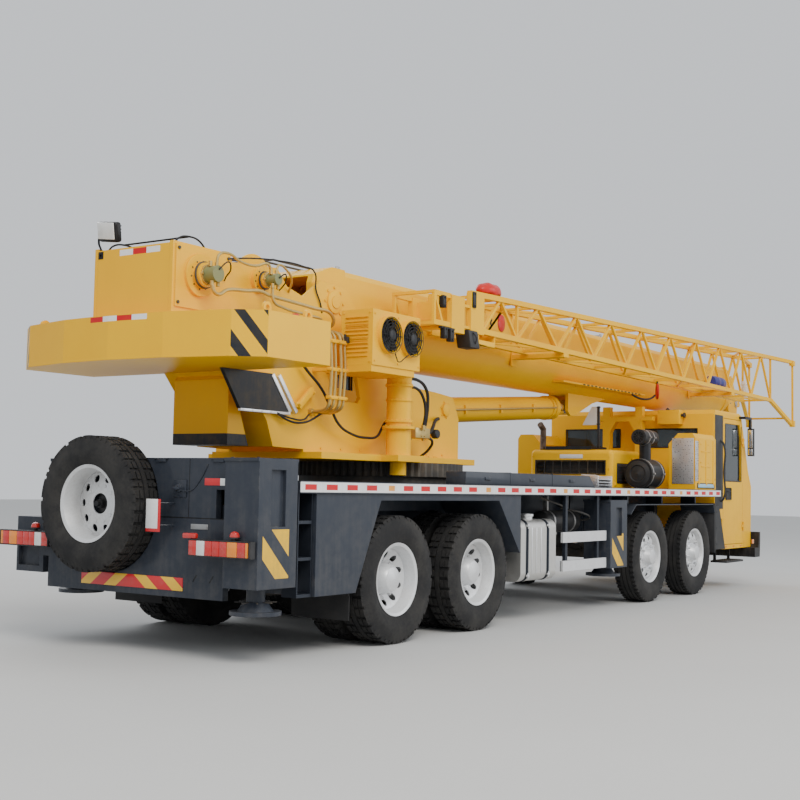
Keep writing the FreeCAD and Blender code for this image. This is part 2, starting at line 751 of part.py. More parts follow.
# Air cleaner on the deck, and the plate and the exhaust that stand on the hood
def air_cleaner():
    foot = box(cleaner_x - 100, cleaner_x + 100, cleaner_y - 100, cleaner_y + 100, deck_top,
               cleaner_z - cleaner_radius + 40)
    drum = cylinder((cleaner_x - cleaner_half_length, cleaner_y, cleaner_z),
                    (cleaner_x + cleaner_half_length, cleaner_y, cleaner_z), cleaner_radius)
    neck = cylinder((cleaner_x, cleaner_y, cleaner_z), (cleaner_x, cleaner_y, pre_cleaner_z), cleaner_neck)
    head = cylinder((cleaner_x - pre_cleaner_half_length, cleaner_y, pre_cleaner_z),
                    (cleaner_x + pre_cleaner_half_length, cleaner_y, pre_cleaner_z), pre_cleaner_radius)
    lid = box(lid_plate[0], lid_plate[1], lid_plate[2], lid_plate[3], hood_top, hood_top + lid_plate[4])
    pipe = cylinder((exhaust_x, exhaust_y, hood_top), (exhaust_x, exhaust_y, exhaust_top - 60), exhaust_radius)
    outlet = cylinder((exhaust_x, exhaust_y, exhaust_top - 75), (exhaust_x - 90, exhaust_y, exhaust_top - 15),
                      exhaust_radius)
    return [fuse([foot, drum, neck, head]), lid, fuse([pipe, outlet])]


save("air_cleaner", air_cleaner())


# Arched portal with two posts that take the boom
def boom_rest():
    top = boom_floor_z - rest_gap
    inner = rest_half_width - rest_post
    half = [(rest_half_width, deck_top), (rest_half_width, rest_beam_top - rest_wing_depth),
            (rest_wing, rest_beam_top - rest_wing_depth), (rest_wing, rest_beam_top), (rest_half_width, rest_beam_top),
            (rest_half_width, top), (inner, top), (inner, rest_beam_top)]
    arch = [(-inner, deck_top), (-inner, rest_arch_top - 150), (-inner + 90, rest_arch_top),
            (inner - 90, rest_arch_top), (inner, rest_arch_top - 150), (inner, deck_top)]
    outline = half + [(-y, z) for y, z in reversed(half)] + arch
    return cross_profile(outline, rest_rear, rest_front)


save("boom_rest", [boom_rest()])

# Carrier cab, hollow, with its windows and door openings cut
cab_rear = 7850.0
cab_front = 9390.0
cab_half_width = body_half_width - 140
cab_floor = 540.0
cab_wall = 45.0
cab_roof = 2470.0
cab_step_x = 8160.0
cab_step_z = 960.0
cab_belt = 1420.0
cab_brow = 1500.0
brow_x = cab_front - 50
roof_front = 8900.0
screen_top_x = roof_front + 80
screen_top_z = cab_roof - 20
cab_round = 35.0
cab_outline = [(cab_rear, cab_step_z), (cab_step_x, cab_step_z), (cab_step_x, cab_floor),
               (cab_front - 30, cab_floor), (cab_front, cab_belt), (brow_x, cab_brow),
               (screen_top_x, screen_top_z), (roof_front, cab_roof), (cab_rear + 60, cab_roof),
               (cab_rear, cab_roof - 60)]
door_rear = 8200.0
door_front = 9020.0
door_floor = 600.0
door_top = 2370.0
door_shoulder = 2160.0
door_slant = 80.0
door_gap = 6.0
door_hinge_heights = (850.0, 2050.0)
sill = 1480.0
glass_wall = 6.0
pillar = 70.0
rear_window = [150.0, 1000.0, 1950.0, 2200.0]
screen_floor = 1560.0
screen_drop = 120.0
pad_place = [8400.0, 8600.0, 200.0, 400.0]

hinge_radius = 12.0
hinge_pin = 7.0
hinge_stand = 13.0
hinge_length = 40.0
hinge_leaf = 50.0


# One hinge: sleeves above and below for the body, a barrel with its pin for the door
def hinge_sleeves(x, y, outward, z):
    shapes = []
    for low in (z - hinge_length * 1.5 - 1, z + hinge_length / 2 + 1):
        shapes.append(cylinder((x, y, low), (x, y, low + hinge_length), hinge_radius))
        shapes.append(box(x, x + hinge_leaf, y, y - outward * (hinge_stand + 2), low, low + hinge_length))
    return shapes


def hinge_barrel(x, y, outward, z):
    return [cylinder((x, y, z - hinge_length / 2), (x, y, z + hinge_length / 2), hinge_radius),
            box(x - hinge_leaf, x, y, y - outward * (hinge_stand + 2), z - hinge_length / 2, z + hinge_length / 2),
            cylinder((x, y, z - hinge_length * 1.4), (x, y, z + hinge_length * 1.4), hinge_pin)]


def hinge_bore(x, y, z):
    return cylinder((x, y, z - hinge_length * 2), (x, y, z + hinge_length * 2), hinge_pin + running_gap)


# Outline of the carrier door, its upper front corner following the windscreen
def door_outline(inset, floor):
    front = door_front - inset
    return [(door_rear + inset, floor), (front, floor), (front, door_shoulder - inset / 2),
            (front - door_slant + inset / 3, door_top - inset), (door_rear + inset, door_top - inset)]


# Windscreen plane, x at a height
def screen_x(z):
    lean = (brow_x - screen_top_x) / (screen_top_z - cab_brow)
    return brow_x - (z - cab_brow) * lean


def cab_shell():
    outer = side_profile(cab_outline, -cab_half_width, cab_half_width)
    corners = [edge for edge in outer.Edges if edge.BoundBox.YLength < 1 and edge.BoundBox.ZMax > cab_brow + 10
               and edge.BoundBox.XMin > cab_rear + 10]
    outer = outer.makeFillet(cab_round, corners)
    pads = pair_box(pad_place[0], pad_place[1], pad_place[2], pad_place[3], neck_top, cab_floor + 5)
    outer = fuse([outer] + pads)
    wall = cab_wall
    inner = side_profile([(cab_rear + wall, cab_step_z + wall), (cab_step_x + wall, cab_step_z + wall),
                          (cab_step_x + wall, cab_floor + wall), (cab_front - 30 - wall, cab_floor + wall),
                          (cab_front - wall, cab_belt), (brow_x - wall, cab_brow - 10),
                          (screen_top_x - wall, screen_top_z - wall), (roof_front - wall, cab_roof - wall),
                          (cab_rear + wall + 20, cab_roof - wall), (cab_rear + wall, cab_roof - wall - 20)],
                         -cab_half_width + wall, cab_half_width - wall)
    cuts = [inner]
    cuts += pair_profile(door_outline(0.0, door_floor), cab_half_width - wall - 1, cab_half_width + 1)
    high = cab_roof - screen_drop
    cuts.append(side_profile([(screen_x(screen_floor) + 80, screen_floor), (screen_x(screen_floor) - 90, screen_floor),
                              (screen_x(high) - 90, high), (screen_x(high) + 80, high)],
                             -cab_half_width + pillar, cab_half_width - pillar))
    cuts += pair_box(cab_rear - 1, cab_rear + wall + 1, rear_window[0], rear_window[1], rear_window[2], rear_window[3])
    shell = outer.cut(cuts)
    hinges = []
    bores = []
    for outward in (1, -1):
        for z in door_hinge_heights:
            y = outward * (cab_half_width + hinge_stand)
            hinges += hinge_sleeves(door_front - door_gap / 2, y, outward, z)
            bores.append(hinge_bore(door_front - door_gap / 2, y, z))
    return fuse([shell] + hinges).cut(bores)


save("carrier_cab", [cab_shell()])


def cab_glass():
    low, high = screen_floor + running_gap, cab_roof - screen_drop - running_gap
    screen = side_profile([(screen_x(low) - 25, low), (screen_x(low) - 25 + glass_wall, low),
                           (screen_x(high) - 25 + glass_wall, high), (screen_x(high) - 25, high)],
                          -cab_half_width + pillar + running_gap, cab_half_width - pillar - running_gap)
    rear = pair_box(cab_rear + 20, cab_rear + 20 + glass_wall, rear_window[0] + running_gap,
                    rear_window[1] - running_gap, rear_window[2] + running_gap, rear_window[3] - running_gap)
    return [screen] + rear


save("carrier_cab_glass", cab_glass())


def carrier_door(outward):
    leaf = side_profile(door_outline(door_gap, door_floor + door_gap), outward * (cab_half_width - cab_wall),
                        outward * cab_half_width)
    window = side_profile(door_outline(pillar, sill), outward * (cab_half_width - cab_wall - 1),
                          outward * (cab_half_width + 1))
    hinges = []
    for z in door_hinge_heights:
        hinges += hinge_barrel(door_front - door_gap / 2, outward * (cab_half_width + hinge_stand), outward, z)
    return fuse([leaf.cut(window)] + hinges)


def carrier_door_glass(outward):
    middle = cab_half_width - cab_wall / 2
    return side_profile(door_outline(pillar + running_gap, sill + running_gap),
                        outward * (middle - glass_wall / 2), outward * (middle + glass_wall / 2))


for side, outward in (("left", 1), ("right", -1)):
    save("carrier_door_" + side, [carrier_door(outward)])
    save("carrier_door_glass_" + side, [carrier_door_glass(outward)])

dash_rear = 9020.0
dash_front = 9300.0
dash_floor = 1150.0
dash_top = 1450.0
dash_leg = [9150.0, 9250.0, 700.0, 800.0]
seat_rear = 8220.0
seat_front = 8700.0
seat_y = 640.0
seat_half_width = 240.0
seat_floor = 980.0
seat_top = 1110.0
seat_back_top = 1800.0
seat_lean = 90.0
seat_back_wall = 110.0


def carrier_seats():
    shapes = []
    floor = cab_floor + cab_wall
    dash_half = cab_half_width - cab_wall - 20
    dash = box(dash_rear, dash_front, -dash_half, dash_half, dash_floor, dash_top)
    legs = pair_box(dash_leg[0], dash_leg[1], dash_leg[2], dash_leg[3], floor, dash_floor + 10)
    shapes.append(fuse([dash] + legs))
    for y in (seat_y, -seat_y):
        base = box(seat_rear + 20, seat_front - 60, y - seat_half_width * 0.75, y + seat_half_width * 0.75,
                   floor, seat_floor)
        seat = box(seat_rear, seat_front, y - seat_half_width, y + seat_half_width, seat_floor, seat_top)
        back = side_profile([(seat_rear, seat_top - 10), (seat_rear + seat_back_wall, seat_top - 10),
                             (seat_rear + seat_back_wall - seat_lean, seat_back_top),
                             (seat_rear - seat_lean, seat_back_top)], y - seat_half_width, y + seat_half_width)
        shapes.append(fuse([base, seat, back]))
    return shapes


save("carrier_seats", carrier_seats())

# Bumper and mirrors, the mirrors' arms leaving the cab above its doors
bumper_front = 9440.0
bumper_floor = 400.0
bumper_top = 760.0
bumper_half_width = body_half_width - 20
stalk_rear = 8860.0
stalk_side = 36.0
stalk_floor = 2388.0
stalk_reach = body_half_width - 45
mirror_rear = 9080.0
mirror_front = 9140.0
mirror_inner = body_half_width - 90
mirror_outer = body_half_width - 5
mirror_floor = 1860.0
mirror_top = 2260.0


def cab_trim():
    bumper = side_profile([(neck_front, bumper_floor), (bumper_front - 20, bumper_floor),
                           (bumper_front, bumper_floor + 220), (bumper_front, bumper_top), (cab_front + 1, bumper_top),
                           (cab_front - 30, cab_floor - 5), (neck_front, cab_floor - 5)],
                          -bumper_half_width, bumper_half_width)
    arms = []
    for outward in (1, -1):
        stalk = box(stalk_rear, stalk_rear + stalk_side, outward * cab_half_width, outward * stalk_reach,
                    stalk_floor, stalk_floor + stalk_side)
        arm = box(stalk_rear, mirror_front, outward * (stalk_reach - stalk_side), outward * stalk_reach,
                  stalk_floor, stalk_floor + stalk_side)
        post = box(mirror_front - stalk_side, mirror_front, outward * (stalk_reach - stalk_side),
                   outward * stalk_reach, mirror_top - 10, stalk_floor + stalk_side)
        glass = box(mirror_rear, mirror_front, outward * mirror_inner, outward * mirror_outer, mirror_floor, mirror_top)
        arms.append(fuse([stalk, arm, post, glass]))
    return [bumper] + arms


save("cab_trim", cab_trim())

# Turntable: base plate, two tall side plates round the boom foot, winch arms behind
side_inner = 400.0
side_wall = 36.0
table_floor = ring_top + running_gap
table_plate = 60.0
table_rear = -200.0
table_front = 2420.0
table_half_width = 640.0
slab_floor = 2270.0
slab_top = 2620.0
slab_front = -1034.0
arm_rear = -1890.0
arm_top = 3215.0
pivot_pin = 60.0
luff_foot_x = 2150.0
luff_foot_z = 2130.0
luff_pin = 50.0
boom_half_width = 360.0
winch_1_x = -1600.0
winch_1_z = 2975.0
winch_2_x = -860.0
winch_2_z = 3040.0
winch_flange = 235.0
winch_drum_radius = 175.0
winch_pin = 45.0
drum_half_width = 385.0
side_outline = [(table_front, table_floor), (table_front, 2050.0), (2300.0, 2270.0), (1950.0, 2300.0),
                (1300.0, 2330.0), (700.0, 2760.0), (400.0, 3150.0), (0.0, 3170.0), (-250.0, 2990.0),
                (-480.0, 3050.0), (-620.0, 3190.0), (-1200.0, 3150.0), (-1230.0, arm_top), (arm_rear, arm_top),
                (arm_rear, slab_top), (slab_front, slab_top), (slab_front, slab_floor), (-1060.0, slab_floor),
                (-710.0, 1870.0), (-620.0, 1650.0), (table_rear, 1640.0), (table_rear, table_floor)]
side_window = [(280.0, 2130.0), (320.0, 2100.0), (600.0, 2100.0), (640.0, 2150.0), (560.0, 2420.0),
               (520.0, 2450.0), (330.0, 2450.0), (280.0, 2410.0)]
tail_box = [(-1060.0, 1650.0), (-795.0, 1650.0), (-905.0, 1930.0), (-905.0, slab_floor), (-1000.0, slab_floor),
            (-1060.0, 2200.0)]
tail_box_half_width = 310.0
slope_plate = [(-620.0, 1650.0), (-710.0, 1870.0), (-1060.0, slab_floor), (-1015.0, slab_floor),
               (-675.0, 1870.0), (-590.0, 1650.0)]
dark_panel = [(-1320.0, slab_floor), (-690.0, slab_floor), (-440.0, 1950.0), (-1090.0, 1950.0)]
dark_panel_wall = 34.0
bulkhead_x = -905.0
bulkhead_floor = 2100.0
bulkhead_top = 2600.0
drive_x = 920.0
drive_y = -690.0
drive_radius = 118.0
drive_top = 2390.0
pinion_radius = 78.0
pad_rear = 700.0
pad_front = 1150.0
pad_outer = 840.0
shelf_rear = 100.0
shelf_front = 790.0
shelf_outer = 940.0
shelf_floor = 2340.0
op_shelf_rear = 500.0
op_shelf_outer = 1330.0
winch_motors = [
    # winch x, winch z, flange radius, gearbox radius, motor radius
    (winch_1_x, winch_1_z, 170.0, 98.0, 66.0),
    (winch_2_x, winch_2_z, 105.0, 66.0, 48.0),
]
gearbox_length = 105.0
motor_length = 115.0
bolt_plate = [-1862.0, -1235.0, 2700.0, 3195.0, 12.0]


def side_plate(outward):
    plate = side_profile(side_outline, outward * side_inner, outward * (side_inner + side_wall))
    window = side_profile(side_window, outward * (side_inner - 1), outward * (side_inner + side_wall + 1))
    return plate.cut(window)


def winch_motor(x, z, flange, gearbox_radius, motor_radius):
    y = -side_inner - side_wall
    return [cylinder((x, y + 1, z), (x, y - 36, z), flange),
            cylinder((x, y, z), (x, y - gearbox_length, z), gearbox_radius),
            cylinder((x, y, z), (x, y - gearbox_length - motor_length, z), motor_radius)]


def turntable():
    outer = side_inner + side_wall
    shapes = [box(table_rear, table_front, -table_half_width, table_half_width, table_floor, table_floor + table_plate),
              box(pad_rear, pad_front, -pad_outer, 0, table_floor, table_floor + table_plate),
              box(op_shelf_rear, table_front, table_half_width - 10, op_shelf_outer, table_floor,
                  table_floor + table_plate),
              box(shelf_rear, shelf_front, -shelf_outer, -outer + 1, shelf_floor, shelf_floor + table_plate),
              box(bulkhead_x, bulkhead_x + 40, -side_inner - 1, side_inner + 1, bulkhead_floor, bulkhead_top),
              side_profile(tail_box, -tail_box_half_width, tail_box_half_width),
              side_profile(slope_plate, -side_inner - 1, side_inner + 1),
              side_profile(dark_panel, -outer + 1, -outer - dark_panel_wall),
              box(bolt_plate[0], bolt_plate[1], -outer + 1, -outer - bolt_plate[4], bolt_plate[2], bolt_plate[3]),
              cylinder((boom_pivot_x, -outer - 30, boom_pivot_z), (boom_pivot_x, outer + 30, boom_pivot_z), pivot_pin),
              cylinder((luff_foot_x, -outer - 20, luff_foot_z), (luff_foot_x, outer + 20, luff_foot_z), luff_pin),
              cylinder((drive_x, drive_y, table_floor), (drive_x, drive_y, drive_top), drive_radius),
              cylinder((drive_x, drive_y, ring_tooth_floor + 10), (drive_x, drive_y, table_floor + 1), pinion_radius),
              side_plate(1), side_plate(-1)]
    shafts = []
    for x, z, flange, gearbox_radius, motor_radius in winch_motors:
        shapes += winch_motor(x, z, flange, gearbox_radius, motor_radius)
        shafts.append(cylinder((x, -outer - 50, z), (x, outer + 1, z), winch_pin + running_gap))
    return fuse(shapes).cut(shafts)


save("turntable", [turntable()])


def winch_drum(x, z):
    half = drum_half_width
    flanges = [cylinder((x, y, z), (x, y + 20, z), winch_flange) for y in (-half, half - 20)]
    drum = cylinder((x, -half + 10, z), (x, half - 10, z), winch_drum_radius)
    shaft = cylinder((x, -side_inner - side_wall - 40, z), (x, side_inner + side_wall - 1, z), winch_pin)
    return fuse(flanges + [drum, shaft])


save("winch_drum_main", [winch_drum(winch_1_x, winch_1_z)])
save("winch_drum_auxiliary", [winch_drum(winch_2_x, winch_2_z)])

# Counterweight slab with a bowed rear edge, and the rear plate between the winch arms
slab_half = [(slab_front, 1345.0), (-1800.0, 1345.0), (-1960.0, 1120.0), (-2090.0, 550.0)]
block_wall = 45.0
block_top = 3200.0


def counterweight():
    slab = plan_profile(slab_half + [(rear_end, 0)] + [(x, -y) for x, y in reversed(slab_half)], slab_floor, slab_top)
    block = box(arm_rear, arm_rear + block_wall, -side_inner, side_inner, slab_top, block_top)
    return fuse([slab, block])


save("counterweight", [counterweight()])

# Oil cooler with two fans on the right of the turntable
cooler_rear = 100.0
cooler_front = 865.0
cooler_outer = 950.0
cooler_inner = 600.0
cooler_floor = shelf_floor + table_plate
cooler_top = 2900.0
fan_radius = 148.0
fan_gap = 8.0
fan_ring = 12.0
fan_shaft = 14.0
fan_z = 2685.0
fan_rear_x = 337.0
fan_front_x = 687.0
fan_blades = 7
fan_places = (("fan_rear", fan_rear_x), ("fan_front", fan_front_x))
louvres = 10
louvre_pitch = 30.0
louvre_height = 14.0


def cooler():
    shape = box(cooler_rear, cooler_front, -cooler_outer, -cooler_inner, cooler_floor, cooler_top)
    bore = fan_radius + fan_gap
    for node, x in fan_places:
        ring = tube((x, -cooler_outer - 45, fan_z), (x, -cooler_outer + 5, fan_z), bore + fan_ring, bore)
        well = cylinder((x, -cooler_outer - 1, fan_z), (x, -cooler_outer + 60, fan_z), bore)
        shaft = cylinder((x, -cooler_outer - 20, fan_z), (x, -cooler_outer + 70, fan_z), fan_shaft)
        shape = shape.cut(well).fuse([ring, shaft])
    low = cooler_top - 60 - louvres * louvre_pitch
    slots = [box(cooler_rear - 1, cooler_rear + 6, -cooler_outer + 50, -cooler_inner - 50,
                 low + index * louvre_pitch, low + index * louvre_pitch + louvre_height) for index in range(louvres)]
    return shape.cut(slots).removeSplitter()


save("oil_cooler", [cooler()])


def fan(x):
    y0, y1 = -cooler_outer - 30, -cooler_outer + 40
    hub = cylinder((x, y0, fan_z), (x, y1, fan_z), 45)
    blades = []
    for index in range(fan_blades):
        blade = box(x + 40, x + fan_radius, y0 + 20, y0 + 32, fan_z - 30, fan_z + 30)
        blade.rotate(Vector(x, y0 + 26, fan_z), Vector(1, 0, 0), 28)
        blade.rotate(Vector(x, 0, fan_z), Vector(0, 1, 0), 360.0 * index / fan_blades)
        blades.append(blade)
    disc = cylinder((x, 0, fan_z), (x, -2000, fan_z), fan_radius)
    shape = fuse([hub] + blades).common(disc)
    return shape.cut(cylinder((x, y0 - 1, fan_z), (x, y1 + 1, fan_z), fan_shaft + running_gap))


for node, x in fan_places:
    save(node, [fan(x)])

# Operator's cab on the left of the turntable
op_rear = 620.0
op_front = 2300.0
op_inner = 520.0
op_outer = 1340.0
op_floor = table_floor + table_plate
op_roof = 3180.0
op_wall = 40.0
op_door_rear = 900.0
op_door_front = 1700.0
op_hinge_heights = (1900.0, 2900.0)
op_knee = 350.0
op_brow = 450.0
op_brow_x = op_front - 80
op_roof_front = op_front - 380
op_outline = [(op_rear, op_floor), (op_front - 200, op_floor), (op_front, op_floor + op_knee),
              (op_brow_x, op_roof - op_brow), (op_roof_front, op_roof), (op_rear, op_roof)]
op_sill = 2250.0
op_head = 150.0
op_screen_low = 420.0
op_screen_high = 480.0


def operator_cab():
    outer = side_profile(op_outline, op_inner, op_outer)
    inner = side_profile([(op_rear + op_wall, op_floor + op_wall), (op_front - 200 - op_wall / 2, op_floor + op_wall),
                          (op_front - op_wall, op_floor + op_knee), (op_brow_x - op_wall, op_roof - op_brow),
                          (op_roof_front - op_wall / 2, op_roof - op_wall), (op_rear + op_wall, op_roof - op_wall)],
                         op_inner + op_wall, op_outer - op_wall)
    cuts = [inner,
            box(op_door_rear, op_door_front, op_outer - op_wall - 1, op_outer + 1, op_floor + 60, op_roof - 80),
            box(op_front - 300, op_front + 50, op_inner + pillar, op_outer - pillar, op_floor + op_screen_low,
                op_roof - op_screen_high),
            box(op_rear + 120, op_front - 500, op_inner - 1, op_inner + op_wall + 1, op_sill, op_roof - op_head),
            box(op_rear - 1, op_rear + op_wall + 1, op_inner + 90, op_outer - 90, op_sill, op_roof - op_head)]
    shell = outer.cut(cuts)
    hinges = []
    bores = []
    for z in op_hinge_heights:
        hinges += hinge_sleeves(op_door_front - door_gap / 2, op_outer + hinge_stand, 1, z)
        bores.append(hinge_bore(op_door_front - door_gap / 2, op_outer + hinge_stand, z))
    return fuse([shell] + hinges).cut(bores)


def operator_glass():
    slope = (op_front - op_brow_x) / (op_roof - op_brow - op_floor - op_knee)
    low, high = op_floor + op_screen_low + running_gap, op_roof - op_screen_high - running_gap

    def face_x(z):
        return op_front - (z - op_floor - op_knee) * slope
    front = side_profile([(face_x(low) - 24, low), (face_x(low) - 18, low), (face_x(high) - 18, high),
                          (face_x(high) - 24, high)], op_inner + pillar + running_gap, op_outer - pillar - running_gap)
    right = box(op_rear + 120 + running_gap, op_front - 500 - running_gap, op_inner + 17, op_inner + 23,
                op_sill + running_gap, op_roof - op_head - running_gap)
    rear = box(op_rear + 17, op_rear + 23, op_inner + 90 + running_gap, op_outer - 90 - running_gap,
               op_sill + running_gap, op_roof - op_head - running_gap)
    return [front, right, rear]


save("operator_cab", [operator_cab()])
save("operator_cab_glass", operator_glass())


def operator_door():
    leaf = box(op_door_rear + door_gap, op_door_front - door_gap, op_outer - op_wall, op_outer,
               op_floor + 60 + door_gap, op_roof - 80 - door_gap)
    window = box(op_door_rear + pillar, op_door_front - pillar, op_outer - op_wall - 1, op_outer + 1, op_sill - 250,
                 op_roof - op_head)
    hinges = []
    for z in op_hinge_heights:
        hinges += hinge_barrel(op_door_front - door_gap / 2, op_outer + hinge_stand, 1, z)
    return fuse([leaf.cut(window)] + hinges)


save("operator_door", [operator_door()])
save("operator_door_glass", [box(op_door_rear + pillar + running_gap, op_door_front - pillar - running_gap,
                                 op_outer - 23, op_outer - 17, op_sill - 250 + running_gap,
                                 op_roof - op_head - running_gap)])

op_seat_rear = 1000.0
op_seat_front = 1480.0
op_seat_rise = 380.0
op_seat_wall = 120.0
op_back_rise = 1150.0
op_console = [1900.0, 2040.0, 60.0, 700.0]


def operator_seat():
    middle = (op_inner + op_outer) / 2
    half = seat_half_width - 10
    floor = op_floor + op_wall
    top = floor + op_seat_rise + op_seat_wall
    base = box(op_seat_rear + 50, op_seat_front - 80, middle - half * 0.65, middle + half * 0.65, floor,
               floor + op_seat_rise)
    seat = box(op_seat_rear, op_seat_front, middle - half, middle + half, floor + op_seat_rise, top)
    back = side_profile([(op_seat_rear, top - 10), (op_seat_rear + seat_back_wall, top - 10),
                         (op_seat_rear + seat_back_wall - 100, floor + op_back_rise),
                         (op_seat_rear - 100, floor + op_back_rise)], middle - half, middle + half)
    console = box(op_console[0], op_console[1], middle - op_console[2], middle + op_console[2], floor,
                  floor + op_console[3])
    return [fuse([base, seat, back]), console]


save("operator_seat", operator_seat())

# Luffing cylinder between turntable and boom
luff_eye_x = 5700.0
luff_eye_z = 2385.0
barrel_radius = 142.0
rod_radius = 92.0
barrel_end_gap = 330.0
gland_length = 90.0
foot_eye = 120.0
rod_eye = 95.0
eye_half_width = 95.0
luff_eye_pin = 45.0
luff_angle = math.atan2(luff_eye_z - luff_foot_z, luff_eye_x - luff_foot_x)
luff_length = math.hypot(luff_eye_z - luff_foot_z, luff_eye_x - luff_foot_x)


# Both halves are drawn along X from the foot pin, then turned to the cylinder's slope
def placed_cylinder_part(shape):
    shape.rotate(Vector(0, 0, 0), Vector(0, 1, 0), -math.degrees(luff_angle))
    shape.translate(Vector(luff_foot_x, 0, luff_foot_z))
    return shape


def luff_barrel():
    end = luff_length - barrel_end_gap
    shape = fuse([cylinder((0, -eye_half_width, 0), (0, eye_half_width, 0), foot_eye),
                  box(0, 200, -eye_half_width, eye_half_width, -foot_eye * 0.8, foot_eye * 0.8),
                  cylinder((170, 0, 0), (end, 0, 0), barrel_radius),
                  cylinder((end - gland_length, 0, 0), (end, 0, 0), barrel_radius + 10)])
    bore = cylinder((300, 0, 0), (end + 1, 0, 0), rod_radius + running_gap)
    hole = cylinder((0, -200, 0), (0, 200, 0), luff_pin + running_gap)
    return placed_cylinder_part(shape.cut([bore, hole]))


def luff_rod():
    shape = fuse([cylinder((320, 0, 0), (luff_length - 60, 0, 0), rod_radius),
                  cylinder((luff_length, -eye_half_width, 0), (luff_length, eye_half_width, 0), rod_eye)])
    hole = cylinder((luff_length, -200, 0), (luff_length, 200, 0), luff_eye_pin + 6)
    return placed_cylinder_part(shape.cut(hole))


save("luff_barrel", [luff_barrel()])
save("luff_rod", [luff_rod()])

# Boom: five nested sections with flat tops and round bellies
boom_top_z = 3340.0
boom_rear = -40.0
boom_wall = 12.0
boom_corner = 60.0
section_step = 26.0
section_fronts = (10900.0, 11000.0, 11090.0, 11180.0, 11270.0)
section_rears = (boom_rear, 500.0, 620.0, 740.0, 860.0)
collar_wall = 14.0
collar_length = 80.0
foot_front = 460.0
foot_side = 60.0
bracket_inner = 100.0
bracket_wall = 40.0
bracket_front = 1150.0
ledge_rear = 4900.0
ledge_front = 7400.0
ledge_inner = 260.0
ledge_outer = 420.0
ledge_floor = 2640.0
ledge_wall = 25.0
pad_length = 150.0


# Half width, floor and top of a section, counted from the outside in
def section_size(index):
    inset = index * section_step
    return boom_half_width - inset, boom_floor_z + inset, boom_top_z - inset


def section_face(index, inset, x):
    half, low, high = section_size(index)
    half, low, high = half - inset, low + inset, high - inset
    corner = boom_corner
    belly = low + half
    points = [Vector(x, -half, belly), Vector(x, -half, high - corner), Vector(x, -half + corner, high),
              Vector(x, half - corner, high), Vector(x, half, high - corner), Vector(x, half, belly)]
    edges = [Part.LineSegment(a, b).toShape() for a, b in zip(points, points[1:])]
    edges.append(Part.Arc(points[-1], Vector(x, 0, low), points[0]).toShape())
    return Part.Face(Part.Wire(edges))


def section_tube(index, x0, x1, inset, wall):
    length = Vector(x1 - x0, 0, 0)
    outer = section_face(index, inset, x0).extrude(length)
    return outer.cut(section_face(index, inset + wall, x0).extrude(length))


# Foot cheeks, luff bracket and the long ledges on the base section
def boom_base():
    tube_shape = section_tube(0, foot_front - 40, section_fronts[0], 0, boom_wall)
    foot = side_profile([(boom_rear, boom_pivot_z - 160), (foot_front - 40, boom_floor_z + 250),
                         (foot_front, boom_floor_z + 250), (foot_front, boom_top_z), (boom_pivot_x + 60, boom_top_z),
                         (boom_rear + 30, boom_top_z - 100), (boom_rear, boom_top_z - 180)],
                        -boom_half_width, boom_half_width)
    foot = foot.cut(box(boom_rear - 1, foot_front + 40, -boom_half_width + foot_side, boom_half_width - foot_side,
                        boom_floor_z - 500, boom_top_z - 120))
    hole = cylinder((boom_pivot_x, -500, boom_pivot_z), (boom_pivot_x, 500, boom_pivot_z), pivot_pin + running_gap)
    collar = section_tube(0, section_fronts[0] - collar_length, section_fronts[0], -collar_wall + 1, collar_wall)
    shapes = [tube_shape, foot, collar]
    for outward in (1, -1):
        shapes.append(side_profile([(luff_eye_x - 110, boom_floor_z + 60), (luff_eye_x - 110, luff_eye_z - 60),
                                    (luff_eye_x - 40, luff_eye_z - 110), (luff_eye_x + 60, luff_eye_z - 110),
                                    (luff_eye_x + 600, boom_floor_z - 60),
                                    (luff_eye_x + bracket_front, boom_floor_z + 60)],
                                   outward * bracket_inner, outward * (bracket_inner + bracket_wall)))
        shapes.append(box(ledge_rear, ledge_front, outward * ledge_inner, outward * ledge_outer,
                          ledge_floor, ledge_floor + ledge_wall))
    pin = cylinder((luff_eye_x, -bracket_inner - bracket_wall, luff_eye_z),
                   (luff_eye_x, bracket_inner + bracket_wall, luff_eye_z), luff_eye_pin)
    inside = section_face(0, boom_wall, foot_front - 60).extrude(Vector(section_fronts[0], 0, 0))
    return fuse(shapes).cut([hole, inside]).fuse(pin).removeSplitter()


save("boom_section_1", [boom_base()])


# Flat wear pads at the tail of a section, running inside the section before it
def wear_pads(index):
    half, low, high = section_size(index)
    rear = section_rears[index]
    play = section_step - boom_wall - running_gap
    side_pads = pair_box(rear, rear + pad_length, half - 1, half + play, high - 200, high - 80)
    top_pads = pair_box(rear, rear + pad_length, half - 160, half - 80, high - 1, high + play)
    return side_pads + top_pads


def inner_section(index):
    front = section_fronts[index]
    rear = section_rears[index]
    body = section_tube(index, rear, front, 0, boom_wall)
    collar = section_tube(index, front - collar_length, front, -12.0, 14.0)
    return fuse([body, collar] + wear_pads(index))


for index in (1, 2, 3):
    save("boom_section_" + str(index + 1), [inner_section(index)])

head_front = front_end - 215.0
sheave_radius = 190.0
sheave_half_width = 22.0
sheave_places = (-150.0, -50.0, 50.0, 150.0)
head_pin_rise = 170.0
head_pin_radius = 40.0
tip_radius = 45.0


